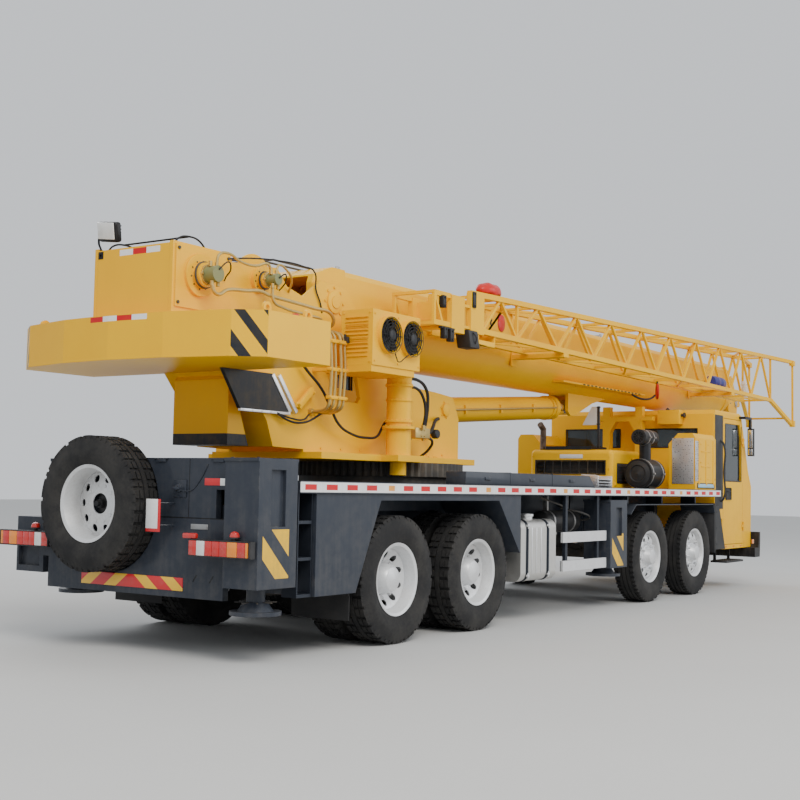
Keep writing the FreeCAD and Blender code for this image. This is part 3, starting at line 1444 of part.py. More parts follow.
def boom_head():
    front = section_fronts[4]
    half, low, high = section_size(4)
    pin_z = low + head_pin_rise
    body = section_tube(4, section_rears[4], front, 0, boom_wall)
    plates = []
    for outward in (1, -1):
        plates.append(side_profile([(front - 30, low + 40), (front + 120, low - 60), (head_front + 60, low + 20),
                                    (head_front + 90, low + 200), (front + 120, high + 20), (front - 30, high - 40)],
                                   outward * (half - 30), outward * half))
        plates.append(box(head_front, front_end - tip_radius, outward * (half - 30), outward * half,
                          pin_z - 40, pin_z + 40))
    face = section_face(4, 0, front - 30).extrude(Vector(30, 0, 0))
    pin = cylinder((head_front, -half, pin_z), (head_front, half, pin_z), head_pin_radius)
    sheaves = [cylinder((head_front, y - sheave_half_width, pin_z), (head_front, y + sheave_half_width, pin_z),
                        sheave_radius) for y in sheave_places]
    tip = cylinder((front_end - tip_radius, -half, pin_z), (front_end - tip_radius, half, pin_z), tip_radius)
    return fuse([body, face, pin, tip] + plates + sheaves + wear_pads(4))


save("boom_section_5", [boom_head()])

# Lattice jib folded along the right side of the base boom
jib_rear = 1900.0
jib_panel_front = 2620.0
jib_front = 11050.0
jib_inner = 560.0
jib_outer = 1010.0
jib_rear_floor = 2890.0
jib_rear_top = 3250.0
jib_front_floor = 2815.0
jib_front_top = 3500.0
chord_side = 55.0
lace_side = 30.0
thin_side = 24.0
jib_bays = 18
fork_front = 11760.0
fork_outer = 1150.0
fork_inner = 430.0
fork_top = 3480.0
fork_floor = 2440.0
carrier_side = 50.0
carrier_drop = 72.0
carrier_pad = [60.0, 20.0, 2795.0, 3000.0]
carrier_places = (3730.0, 9220.0)
root_plates = [
    # rear x, front x, floor z, top z
    (1280.0, 1520.0, 2820.0, 3180.0),
    (1640.0, 1900.0, 2850.0, 3250.0),
]
root_rear = 985.0
root_floor = 2860.0
root_top = 3190.0
root_wall = 30.0
root_arm = [1330.0, 1470.0, 2900.0, 2960.0]


def bar(start, end, side):
    start = Vector(*start)
    end = Vector(*end)
    direction = end - start
    length = direction.Length
    shape = Part.makeBox(length, side, side, Vector(0, -side / 2, -side / 2))
    shape.rotate(Vector(0, 0, 0), Vector(0, 1, 0), -math.degrees(math.asin(direction.z / length)))
    shape.rotate(Vector(0, 0, 0), Vector(0, 0, 1), math.degrees(math.atan2(direction.y, direction.x)))
    shape.translate(start)
    return shape


def jib_point(x, y, high):
    share = (x - jib_rear) / (jib_front - jib_rear)
    low_z = jib_rear_floor + (jib_front_floor - jib_rear_floor) * share
    high_z = jib_rear_top + (jib_front_top - jib_rear_top) * share
    return (x, -y, high_z if high else low_z)


# Where the laces meet the chords, one bay after the other
def jib_nodes():
    middle = (jib_rear + jib_panel_front) / 2
    pitch = (jib_front - jib_panel_front) / jib_bays
    return [jib_rear, middle] + [jib_panel_front + pitch * index for index in range(jib_bays + 1)]


def jib_lattice():
    nodes = jib_nodes()
    shapes = []
    for y in (jib_inner, jib_outer):
        for high in (False, True):
            shapes.append(bar(jib_point(jib_rear - 250, y, high), jib_point(jib_front, y, high), chord_side))
        for index, x in enumerate(nodes[:-1]):
            shapes.append(bar(jib_point(x, y, index % 2 == 1), jib_point(nodes[index + 1], y, index % 2 == 0), lace_side))
    for index, x in enumerate(nodes):
        high = index % 2 == 1
        shapes.append(bar(jib_point(x, jib_outer, high), jib_point(x, jib_inner, high), lace_side))
        if index + 2 < len(nodes):
            shapes.append(bar(jib_point(x, jib_outer if index % 4 < 2 else jib_inner, high),
                              jib_point(nodes[index + 2], jib_inner if index % 4 < 2 else jib_outer, high), thin_side))
    for x in (jib_rear, jib_panel_front, jib_front):
        for y in (jib_inner, jib_outer):
            shapes.append(bar(jib_point(x, y, False), jib_point(x, y, True), lace_side))
        for high in (False, True):
            shapes.append(bar(jib_point(x, jib_outer, high), jib_point(x, jib_inner, high), lace_side))
    return shapes


# Panel inside the first bay, bolt plates, the rear end and the arm to the boom's side
def jib_root():
    z0, z1 = jib_rear_floor, jib_rear_top
    shapes = [box(jib_rear - 20, jib_panel_front, -jib_inner - 15, -jib_inner, z0 - 10, z1)]
    for rear, front, floor, top in root_plates:
        for y in (jib_inner, jib_outer):
            shapes.append(box(rear, front, -y - chord_side / 2, -y + chord_side / 2, floor, top))
    rear, front, floor, top = root_plates[0]
    shapes.append(box(rear + 80, rear + 110, -jib_outer, -jib_inner, floor + 40, top - 40))
    for y in (jib_inner, jib_outer):
        shapes.append(box(root_rear, rear + 10, -y - root_wall / 2, -y + root_wall / 2, root_floor, root_floor + 50))
        shapes.append(box(root_rear, rear + 10, -y - root_wall / 2, -y + root_wall / 2, root_top - 50, root_top))
        shapes.append(bar((root_rear + 10, -y, root_top - 20), (root_rear + 160, -y, root_floor + 20), lace_side))
        shapes.append(box(root_rear, root_rear + 30, -y - root_wall / 2, -y + root_wall / 2, root_floor, root_top))
        for z in (floor + 60, top - 90):
            shapes.append(box(front - 10, root_plates[1][0] + 10, -y - 15, -y + 15, z, z + 30))
    for z in (root_floor, root_top - root_wall):
        shapes.append(box(root_rear, root_rear + root_wall, -jib_outer, -jib_inner, z, z + root_wall))
    shapes.append(box(root_arm[0], root_arm[1], -jib_outer, -boom_half_width, root_arm[2], root_arm[3]))
    return shapes


# Arms under the lattice, each with a pad on the boom's flat side
def jib_carriers():
    shapes = []
    half, wall, floor, top = carrier_pad
    for x in carrier_places:
        z = jib_point(x, 0, False)[2] - carrier_drop
        shapes.append(box(x - half, x + half, -jib_outer - chord_side / 2, -boom_half_width - wall + 1, z, z + carrier_side))
        shapes.append(box(x - half, x + half, -boom_half_width - wall, -boom_half_width, floor - carrier_drop, top))
    return shapes


# Fork at the front that reaches down past the lower chords
def jib_fork():
    shapes = []
    lows = []
    for y, tip_y in ((jib_outer, fork_outer), (jib_inner, fork_inner)):
        for high, tip_z in ((True, fork_top), (False, fork_floor)):
            tip = (fork_front, -tip_y, tip_z)
            shapes.append(bar(jib_point(jib_front - 10, y, high), tip, chord_side))
        shapes.append(box(fork_front - 60, fork_front + 40, -tip_y - 35, -tip_y + 35, fork_floor - 20, fork_floor + 80))
        shapes.append(box(fork_front - 60, fork_front + 40, -tip_y - 35, -tip_y + 35, fork_top - 60, fork_top + 20))
        shapes.append(bar((fork_front, -tip_y, fork_floor + 20), (fork_front, -tip_y, fork_top - 20), lace_side))
    shapes.append(bar((fork_front - 200, -fork_outer + 40, fork_floor + 110), (fork_front - 200, -fork_inner - 40, fork_floor + 110), lace_side))
    return shapes


save("jib", [fuse(jib_lattice() + jib_root() + jib_carriers() + jib_fork())])
print("built", len(os.listdir("parts")), "nodes")
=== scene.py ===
import bpy
import bmesh
import math
from mathutils import Matrix, Vector


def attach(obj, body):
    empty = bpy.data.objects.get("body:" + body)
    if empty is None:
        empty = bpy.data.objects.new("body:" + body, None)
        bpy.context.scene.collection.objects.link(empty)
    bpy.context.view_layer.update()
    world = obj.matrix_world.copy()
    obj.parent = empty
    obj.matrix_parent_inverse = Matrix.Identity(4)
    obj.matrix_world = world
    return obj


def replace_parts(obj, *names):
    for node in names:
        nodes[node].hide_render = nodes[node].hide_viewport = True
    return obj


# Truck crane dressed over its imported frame: metres, X forward, Y left, Z up
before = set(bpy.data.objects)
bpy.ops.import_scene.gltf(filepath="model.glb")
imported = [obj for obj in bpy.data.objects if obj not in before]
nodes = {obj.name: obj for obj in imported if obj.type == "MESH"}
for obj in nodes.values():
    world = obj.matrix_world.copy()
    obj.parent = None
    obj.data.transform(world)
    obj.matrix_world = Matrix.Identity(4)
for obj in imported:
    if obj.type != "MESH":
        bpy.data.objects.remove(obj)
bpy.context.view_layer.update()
pi = math.pi
shiftX = -4.835  # the rearmost axle stands at this X
print("frame loaded:", len(nodes), "nodes")


# Shader maths written as plain expressions
class Val:
    def __init__(self, shader, socket):
        self.shader = shader
        self.socket = socket

    def __add__(self, other):
        return self.shader.maths("ADD", self, other)

    def __radd__(self, other):
        return self.shader.maths("ADD", other, self)

    def __sub__(self, other):
        return self.shader.maths("SUBTRACT", self, other)

    def __rsub__(self, other):
        return self.shader.maths("SUBTRACT", other, self)

    def __mul__(self, other):
        return self.shader.maths("MULTIPLY", self, other)

    def __rmul__(self, other):
        return self.shader.maths("MULTIPLY", other, self)

    def __truediv__(self, other):
        return self.shader.maths("DIVIDE", self, other)

    def __gt__(self, other):
        return self.shader.maths("GREATER_THAN", self, other)

    def __lt__(self, other):
        return self.shader.maths("LESS_THAN", self, other)

    def __mod__(self, other):
        return self.shader.maths("FLOORED_MODULO", self, other)


class Shader:
    def __init__(self, name):
        self.material = bpy.data.materials.new(name)
        self.material.use_nodes = True
        self.tree = self.material.node_tree
        self.tree.nodes.clear()
        self.coordinates = self.node("ShaderNodeTexCoord")

    def node(self, kind, settings=None, sockets=None):
        made = self.tree.nodes.new(kind)
        for key, value in (settings or {}).items():
            setattr(made, key, value)
        for key, value in (sockets or {}).items():
            self.feed(made.inputs[key], value)
        return made

    def feed(self, socket, value):
        if isinstance(value, Val):
            self.tree.links.new(value.socket, socket)
        elif isinstance(value, bpy.types.NodeSocket):
            self.tree.links.new(value, socket)
        elif socket.type == "RGBA" and len(value) == 3:
            socket.default_value = (*value, 1)
        else:
            socket.default_value = value

    def maths(self, operation, first, second=0.0):
        made = self.node("ShaderNodeMath", {"operation": operation}, {0: first, 1: second})
        return Val(self, made.outputs[0])

    def size(self, value):
        return self.maths("ABSOLUTE", value)

    def between(self, value, low, high):
        return (value > low) * (value < high)

    def clamp(self, value):
        return Val(self, self.node("ShaderNodeClamp", None, {0: value}).outputs[0])

    # smooth step of a value between two edges
    def step(self, value, low, high):
        made = self.node("ShaderNodeMapRange", {"interpolation_type": "SMOOTHSTEP"},
                         {0: value, 1: low, 2: high, 3: 0.0, 4: 1.0})
        return Val(self, made.outputs[0])

    def noise(self, scale, detail=4.0, rough=0.55, stretch=None):
        place = self.coordinates.outputs["Object"]
        if stretch:
            place = self.node("ShaderNodeMapping", None, {"Vector": place, "Scale": stretch}).outputs[0]
        made = self.node("ShaderNodeTexNoise", None,
                         {"Vector": place, "Scale": scale, "Detail": detail, "Roughness": rough})
        return Val(self, made.outputs[0])

    def parts(self, vector):
        split = self.node("ShaderNodeSeparateXYZ", None, {0: vector})
        return [Val(self, split.outputs[index]) for index in range(3)]

    def axes(self, shift=(0, 0, 0)):
        place = self.coordinates.outputs["Object"]
        return self.parts(self.node("ShaderNodeMapping", None,
                                    {"Vector": place, "Location": shift}).outputs[0])

    # place of a point in metres from the rearmost axle
    def spot(self):
        return self.axes((-shiftX, 0, 0))

    def mix(self, share, first, second):
        made = self.node("ShaderNodeMix", {"data_type": "RGBA"})
        for socket, value in ((made.inputs[0], share), (made.inputs[6], first), (made.inputs[7], second)):
            self.feed(socket, value)
        return made.outputs[2]

    def facing(self):
        return self.parts(self.node("ShaderNodeNewGeometry").outputs["Normal"])

    # rounded look at hard edges, and how near a point is to such an edge
    def edges(self, radius):
        bevel = self.node("ShaderNodeBevel", {"samples": 4}, {"Radius": radius})
        normal = self.node("ShaderNodeNewGeometry").outputs["Normal"]
        dot = self.node("ShaderNodeVectorMath", {"operation": "DOT_PRODUCT"},
                        {0: bevel.outputs[0], 1: normal})
        return bevel.outputs[0], 1.0 - Val(self, dot.outputs["Value"])

    def bump(self, height, distance, strength=1.0, normal=None):
        sockets = {"Height": height, "Distance": distance, "Strength": strength}
        if normal is not None:
            sockets["Normal"] = normal
        return self.node("ShaderNodeBump", None, sockets).outputs[0]

    def finish(self, sockets):
        surface = self.node("ShaderNodeBsdfPrincipled", None, sockets)
        output = self.node("ShaderNodeOutputMaterial")
        self.tree.links.new(surface.outputs[0], output.inputs[0])
        return self.material


# Painted sheet metal: faded patches, road dust low down and on ledges, chipped edges that also carry a
# painted edge highlight
def paint(name, colour, dark, dust, rough=0.34, edge_chip_and_highlight=(0.32, 0.30, 0.27), dirt=0.35, coat=0.3, low=0.2,
          high=1.9,
          over=None):
    s = Shader(name)
    wide, fine, grain = s.noise(0.9, 5), s.noise(9.0, 8, 0.65), s.noise(140.0, 2)
    streak = s.noise(3.0, 6, 0.6, (7.0, 7.0, 0.7))
    rounded, edge = s.edges(0.007)
    body = s.mix(s.step(wide, 0.3, 0.75), colour, dark)
    if over:
        body = over(s, body)
    up = s.facing()[2]
    height = s.axes()[2]
    lowness = 1.0 - s.step(height, low, high)
    film = s.step(fine + streak * 0.6, 0.62, 1.15) * (0.35 + lowness)
    dusty = s.clamp((film + s.step(up, 0.6, 0.95) * 0.5) * dirt)
    body = s.mix(dusty, body, dust)
    # chipped edges, partly a painted highlight along the edges
    wear_and_edge_highlight = s.clamp(s.step(edge, 0.03, 0.16) * s.step(fine, 0.54, 0.7))
    body = s.mix(wear_and_edge_highlight * 0.55, body, edge_chip_and_highlight)
    return s.finish({"Base Color": body,
                     "Roughness": s.clamp(rough + dusty * 0.5 + grain * 0.08 + wear_and_edge_highlight * 0.2),
                     "Metallic": 0.0, "Coat Weight": coat, "Coat Roughness": 0.12,
                     "Specular IOR Level": 0.15,
                     "Normal": s.bump(grain, 0.0004, 0.5, rounded)})


# Bare or plated metal with brushed or cast grain
def metal(name, colour, dark, rough=0.35, metallic=1.0, grainScale=30.0, stretch=(1, 1, 1), depth=0.0004,
          dirt=0.3,
          over=None):
    s = Shader(name)
    grain = s.noise(grainScale, 6, 0.6, stretch)
    patch = s.noise(3.5, 6, 0.62)
    rounded, edge = s.edges(0.004)
    share = s.clamp(s.step(patch, 0.4, 0.75) * dirt + s.step(grain, 0.4, 0.8) * 0.25)
    # edges worn clean, which also paints a highlight along every edge
    wear_and_edge_highlight = s.step(edge, 0.03, 0.2) * 0.4
    body = s.mix(wear_and_edge_highlight, s.mix(share, colour, dark), colour)
    if over:
        body = over(s, body)
    return s.finish({"Base Color": body, "Roughness": s.clamp(rough + share * 0.35 + grain * 0.1),
                     "Metallic": s.clamp(metallic - share * 0.3),
                     "Normal": s.bump(grain, depth, 0.6, rounded)})


def rubber(name, colour, dust, dusty=0.5, rough=0.78, scale=40.0):
    s = Shader(name)
    patch, fine = s.noise(4.0, 6, 0.6), s.noise(scale, 5, 0.6)
    share = s.clamp(s.step(patch + fine * 0.4, 0.5, 0.95) * dusty)
    return s.finish({"Base Color": s.mix(share, colour, dust), "Roughness": s.clamp(rough + fine * 0.15),
                     "Specular IOR Level": 0.35, "Normal": s.bump(fine, 0.0012, 0.6)})


def plastic(name, colour, light, rough=0.5, scale=220.0):
    s = Shader(name)
    grain, patch = s.noise(scale, 3), s.noise(5.0, 5)
    rounded, edge = s.edges(0.003)
    # lighter edges: wear, and a painted highlight along every edge
    body = s.mix(s.clamp(s.step(patch, 0.4, 0.8) * 0.5 + s.step(edge, 0.03, 0.2) * 0.3), colour, light)
    return s.finish({"Base Color": body, "Roughness": s.clamp(rough + grain * 0.15),
                     "Normal": s.bump(grain, 0.0003, 0.6, rounded)})


def glass(name, colour, rough=0.04):
    s = Shader(name)
    dirt = s.step(s.noise(5.0, 7, 0.65), 0.5, 0.8)
    return s.finish({"Base Color": s.mix(dirt * 0.2, colour, (0.35, 0.34, 0.31)),
                     "Roughness": s.clamp(rough + dirt * 0.12),
                     "IOR": 1.45, "Transmission Weight": 0.85})


def lens(name, colour, glow=0.05):
    s = Shader(name)
    y = s.axes()[1]
    ribs = s.size((y % 0.012) - 0.006) * 120.0
    dust = s.step(s.noise(14.0, 5), 0.45, 0.8) * 0.3
    body = s.mix(dust, colour, (0.28, 0.24, 0.2))
    return s.finish({"Base Color": body, "Roughness": s.clamp(0.12 + dust), "Coat Weight": 0.6,
                     "Emission Color": body, "Emission Strength": glow, "Normal": s.bump(ribs, 0.002, 0.5)})


# Retroreflective sheet: a pattern of the place, under dirt, with a fine cell relief
def sheeting(name, pattern, rough=0.4):
    s = Shader(name)
    x, y, z = s.spot()
    dirt = s.step(s.noise(7.0, 7, 0.65), 0.5, 0.85) * 0.3
    cells = s.node("ShaderNodeTexVoronoi", None, {"Vector": s.coordinates.outputs["Object"],
                                                  "Scale": 260.0})
    body = s.mix(dirt, pattern(s, x, y, z), (0.22, 0.2, 0.17))
    return s.finish({"Base Color": body, "Roughness": s.clamp(rough + dirt), "Coat Weight": 0.4,
                     "Normal": s.bump(Val(s, cells.outputs[0]), 0.0002, 0.5)})


# Yellow bars on red that lean outwards and down from the middle
chevronBars = {"top": 0.6, "lean": 1.3, "start": 0.035, "pitch": 0.29, "width": 0.135}


def chevronPattern(s, x, y, z):
    bar = s.size(y) - (chevronBars["top"] - z) * chevronBars["lean"] - chevronBars["start"]
    yellow = (bar % chevronBars["pitch"] < chevronBars["width"]) * (bar > 0.0)
    return s.mix(yellow, tone["tapeRed"], tone["plateYellow"])


# White plate with red along its outer and lower rim
whiteField = {"y": -0.425, "z": 0.975}


def borderPattern(s, x, y, z):
    rim = (y < whiteField["y"]) + (z < whiteField["z"])
    return s.mix(s.clamp(rim), tone["tapeWhite"], tone["tapeRed"])


# Bright sheet with rows of round holes, the holes drawn as painted shade
def perforated(name):
    s = Shader(name)
    cells = s.node("ShaderNodeTexVoronoi", None, {"Vector": s.coordinates.outputs["Object"], "Scale": 42.0,
                                                  "Randomness": 0.35})
    # the holes are painted shade
    hole = 1.0 - s.step(Val(s, cells.outputs[0]), 0.26, 0.36)
    dirt = s.step(s.noise(6.0, 6, 0.6), 0.45, 0.8) * 0.4
    body = s.mix(hole, s.mix(dirt, (0.62, 0.62, 0.63), (0.36, 0.34, 0.32)), (0.05, 0.05, 0.055))
    return s.finish({"Base Color": body, "Roughness": s.clamp(0.35 + dirt * 0.4 + hole * 0.3),
                     "Metallic": s.clamp(0.7 - hole * 0.6), "Normal": s.bump(1.0 - hole, 0.002, 0.8)})


def fabric(name, colour, light):
    s = Shader(name)
    x, y, z = s.axes()
    weave = s.maths("SINE", (x + z) * 2400.0) * s.maths("SINE", (y + z * 0.5) * 2400.0)
    patch = s.noise(6.0, 5)
    return s.finish({"Base Color": s.mix(s.clamp(patch * 0.5 + weave * 0.2), colour, light),
                     "Roughness": 0.85,
                     "Sheen Weight": 0.3, "Normal": s.bump(weave, 0.0006, 0.5)})


def floorFinish(name):
    s = Shader(name)
    fine, wide = s.noise(60.0, 6, 0.6), s.noise(0.6, 5)
    body = s.mix(s.clamp(fine * 0.4 + wide * 0.4), (0.60, 0.60, 0.585), (0.50, 0.50, 0.49))
    return s.finish({"Base Color": body, "Roughness": 0.85, "Normal": s.bump(fine, 0.0008, 0.4)})


tone = {"yellow": (0.94, 0.52, 0.0), "yellowDark": (0.90, 0.46, 0.0), "yellowDust": (0.58, 0.36, 0.05),
        "blue": (0.036, 0.043, 0.058), "blueDark": (0.028, 0.034, 0.047), "blueDust": (0.13, 0.125, 0.12),
        "tapeWhite": (0.84, 0.84, 0.83), "tapeRed": (0.62, 0.012, 0.018), "amber": (0.80, 0.34, 0.06),
        "plateYellow": (0.88, 0.52, 0.02), "stripe": (0.022, 0.025, 0.032)}

# Reflective band along the deck edge: white, with red blocks and a few amber lamps
edgeBand = {"floor": 1.274, "top": 1.352, "inset": 0.017, "pitch": 0.27, "block": 0.145, "lampPitch": 1.62,
            "lamp": 0.09}


def edgeBandPaint(s, body):
    x, y, z = s.spot()
    side = s.size(y) > 1.3885
    low, top, inset = edgeBand["floor"], edgeBand["top"], edgeBand["inset"]
    body = s.mix(s.between(z, low, top) * side, body, tone["tapeWhite"])
    inner = s.between(z, low + inset, top - inset) * side
    body = s.mix(((x + 0.02) % edgeBand["pitch"] < edgeBand["block"]) * inner, body, tone["tapeRed"])
    lampPlace = (x + 0.335) % edgeBand["lampPitch"]
    clear = (lampPlace < edgeBand["pitch"] - 0.02) * s.between(z, low, top) * side
    body = s.mix(clear, body, tone["tapeWhite"])
    return s.mix(s.between(lampPlace, 0.09, 0.09 + edgeBand["lamp"]) * inner, body, tone["amber"])


# Slanted yellow bands on the outrigger columns: rear edge, side and foot of each plate
plateRows = [(-1.853, -1, 0.634), (-1.394, 1, 0.634), (4.215, -1, 0.478), (4.215, 1, 0.478)]
plateSize = {"length": 0.302, "height": 0.362}


def columnPaint(s, body):
    x, y, z = s.spot()
    for rear, side, foot in plateRows:
        across, up = (x - rear) / plateSize["length"], (z - foot) / plateSize["height"]
        place = s.between(across, 0.0, 1.0) * s.between(up, 0.0, 1.0) * (y * side > 1.3885)
        lean = across + up * 1.2
        body = s.mix(place * (s.between(lean, 0.49, 1.05) + (lean > 1.53)), body, tone["plateYellow"])
    return body


# Two dark bands on each chamfered corner of the slab, and reflective strips on the rear
def ballastPaint(s, body):
    x, y, z = s.spot()
    upright = s.size(s.facing()[2]) < 0.5
    across, up = (x + 1.96) / 0.16, (z - 2.27) / 0.35
    lean = across + up * 0.98
    corner = s.between(across, 0.0, 1.0) * (s.size(y) > 1.1) * upright
    bands = s.between(lean, 0.215, 0.57) + s.between(lean, 1.05, 1.35) + (lean > 1.85)
    body = s.mix(corner * bands, body, tone["stripe"])
    cells = ((y + 0.391) / 0.152) % 2.0 > 1.0
    slabStrip = s.between(y, -0.391, 0.217) * s.between(z, 2.572, 2.614) * (x < -2.085) * upright
    body = s.mix(slabStrip, body, s.mix(cells, tone["tapeWhite"], tone["tapeRed"]))
    blockCells = ((y + 0.298) / 0.15) % 2.0 > 1.0
    blockStrip = s.between(y, -0.298, 0.153) * s.between(z, 3.138, 3.186) * s.between(x, -1.92,
                                                                                      -1.885) * upright
    return s.mix(blockStrip, body, s.mix(blockCells, tone["tapeWhite"], tone["tapeRed"]))


# Dark cover beside the tail box, its black foot, the grey-green motors, and painted shade inside the window
def upperPaint(s, body):
    x, y, z = s.spot()
    cover = s.between(y, -0.4705, -0.4365) * s.between(x, -1.33, -0.43) * s.between(z, 1.94, 2.268)
    body = s.mix(cover, body, (0.020, 0.022, 0.026))
    body = s.mix((x < -0.70) * (z < 1.745) * (s.size(y) < 0.32), body, tone["stripe"])
    motor = (y < -0.5415) * (x < -0.70) * (z > 2.85)
    body = s.mix(motor, body, (0.20, 0.22, 0.10))
    # painted shade inside the window between the side plates
    opening_shade = s.between(x, 0.28, 0.66) * s.between(z, 2.1, 2.45) * (s.size(y) < 0.395)
    return s.mix(opening_shade, body, (0.02, 0.02, 0.02))


# Only the two long side rails are bright: posts and ladder are painted like the frame
def guardPaint(s, body):
    x, y, z = s.spot()
    rails = s.clamp(s.between(z, 0.466, 0.584) + s.between(z, 0.766,
                                                           0.884)) * (x > 0.0) * (s.size(y) > 1.332)
    return s.mix(1.0 - rails, body, tone["blueDark"])


def tankPaint(s, body):
    x = s.spot()[0]
    bands = s.clamp((s.size(x - 2.31) < 0.026) + (s.size(x - 2.755) < 0.026))
    return s.mix(bands, body, tone["blueDark"])


# Painted shade in the hood window behind its bars, and painted shade inside the cooler behind its fans
def hoodPaint(s, body):
    x, y, z = s.spot()
    # painted shade in the window behind the grille bars
    window_shade = (x < 6.2) * s.between(y, -0.4995, 0.4995) * s.between(z, 1.5405, 1.6995)
    return s.mix(window_shade, body, (0.03, 0.03, 0.032))


def coolerPaint(s, body):
    x, y, z = s.spot()
    # painted shade inside the cooler behind the fans
    opening_shade = s.between(x, 0.125, 0.84) * s.between(y, -0.935, -0.62) * s.between(z, 2.42, 2.88)
    return s.mix(opening_shade, body, (0.02, 0.02, 0.02))


# Rope wraps between the drum flanges, each turn banded with painted shade and painted highlight across its
# round
def drumPaint(s, body):
    y = s.axes()[1]
    # painted shade and highlight across each rope turn
    turn_shading = s.step(s.size((y / 0.019) % 1.0 - 0.5), 0.1, 0.5)
    shaded_lay = s.mix(turn_shading, (0.035, 0.033, 0.03), (0.14, 0.13, 0.12))
    return s.mix(s.size(y) < 0.364, body, shaded_lay)


# Rusty exhaust beside the black intake
def intakePaint(s, body):
    x, y, z = s.spot()
    rust = s.mix(s.step(s.noise(16.0, 6, 0.6), 0.35, 0.7), (0.20, 0.15, 0.11), (0.10, 0.06, 0.04))
    return s.mix((y > 0.38) * (x < 6.3) * (z > 1.86), body, rust)


# Seams of the tail sheet, and three short slanted louvres whose slots are painted shade
def tailPaint(s, body):
    x, y, z = s.spot()
    rear = x < -1.7985
    seam = (s.size(y + 0.60) < 0.004) * (z > 1.06) + (s.size(z - 1.06) < 0.005) * (s.size(y) < 1.04)
    louvre = s.size((y + z * 0.7) % 0.17 - 0.08) < 0.008
    # louvre slots painted as shade
    louvre_shade = s.between(z, 0.575, 0.63) * s.between(y, -1.06, -0.66) * louvre
    return s.mix(s.clamp(seam + louvre_shade) * rear, body, (0.006, 0.007, 0.009))


def coated(name, key, dirt, coat=0.04, over=None, rough=0.34):
    return paint(name, tone[key], tone[key + "Dark"], tone[key + "Dust"], rough, dirt=dirt, coat=coat,
                 over=over)


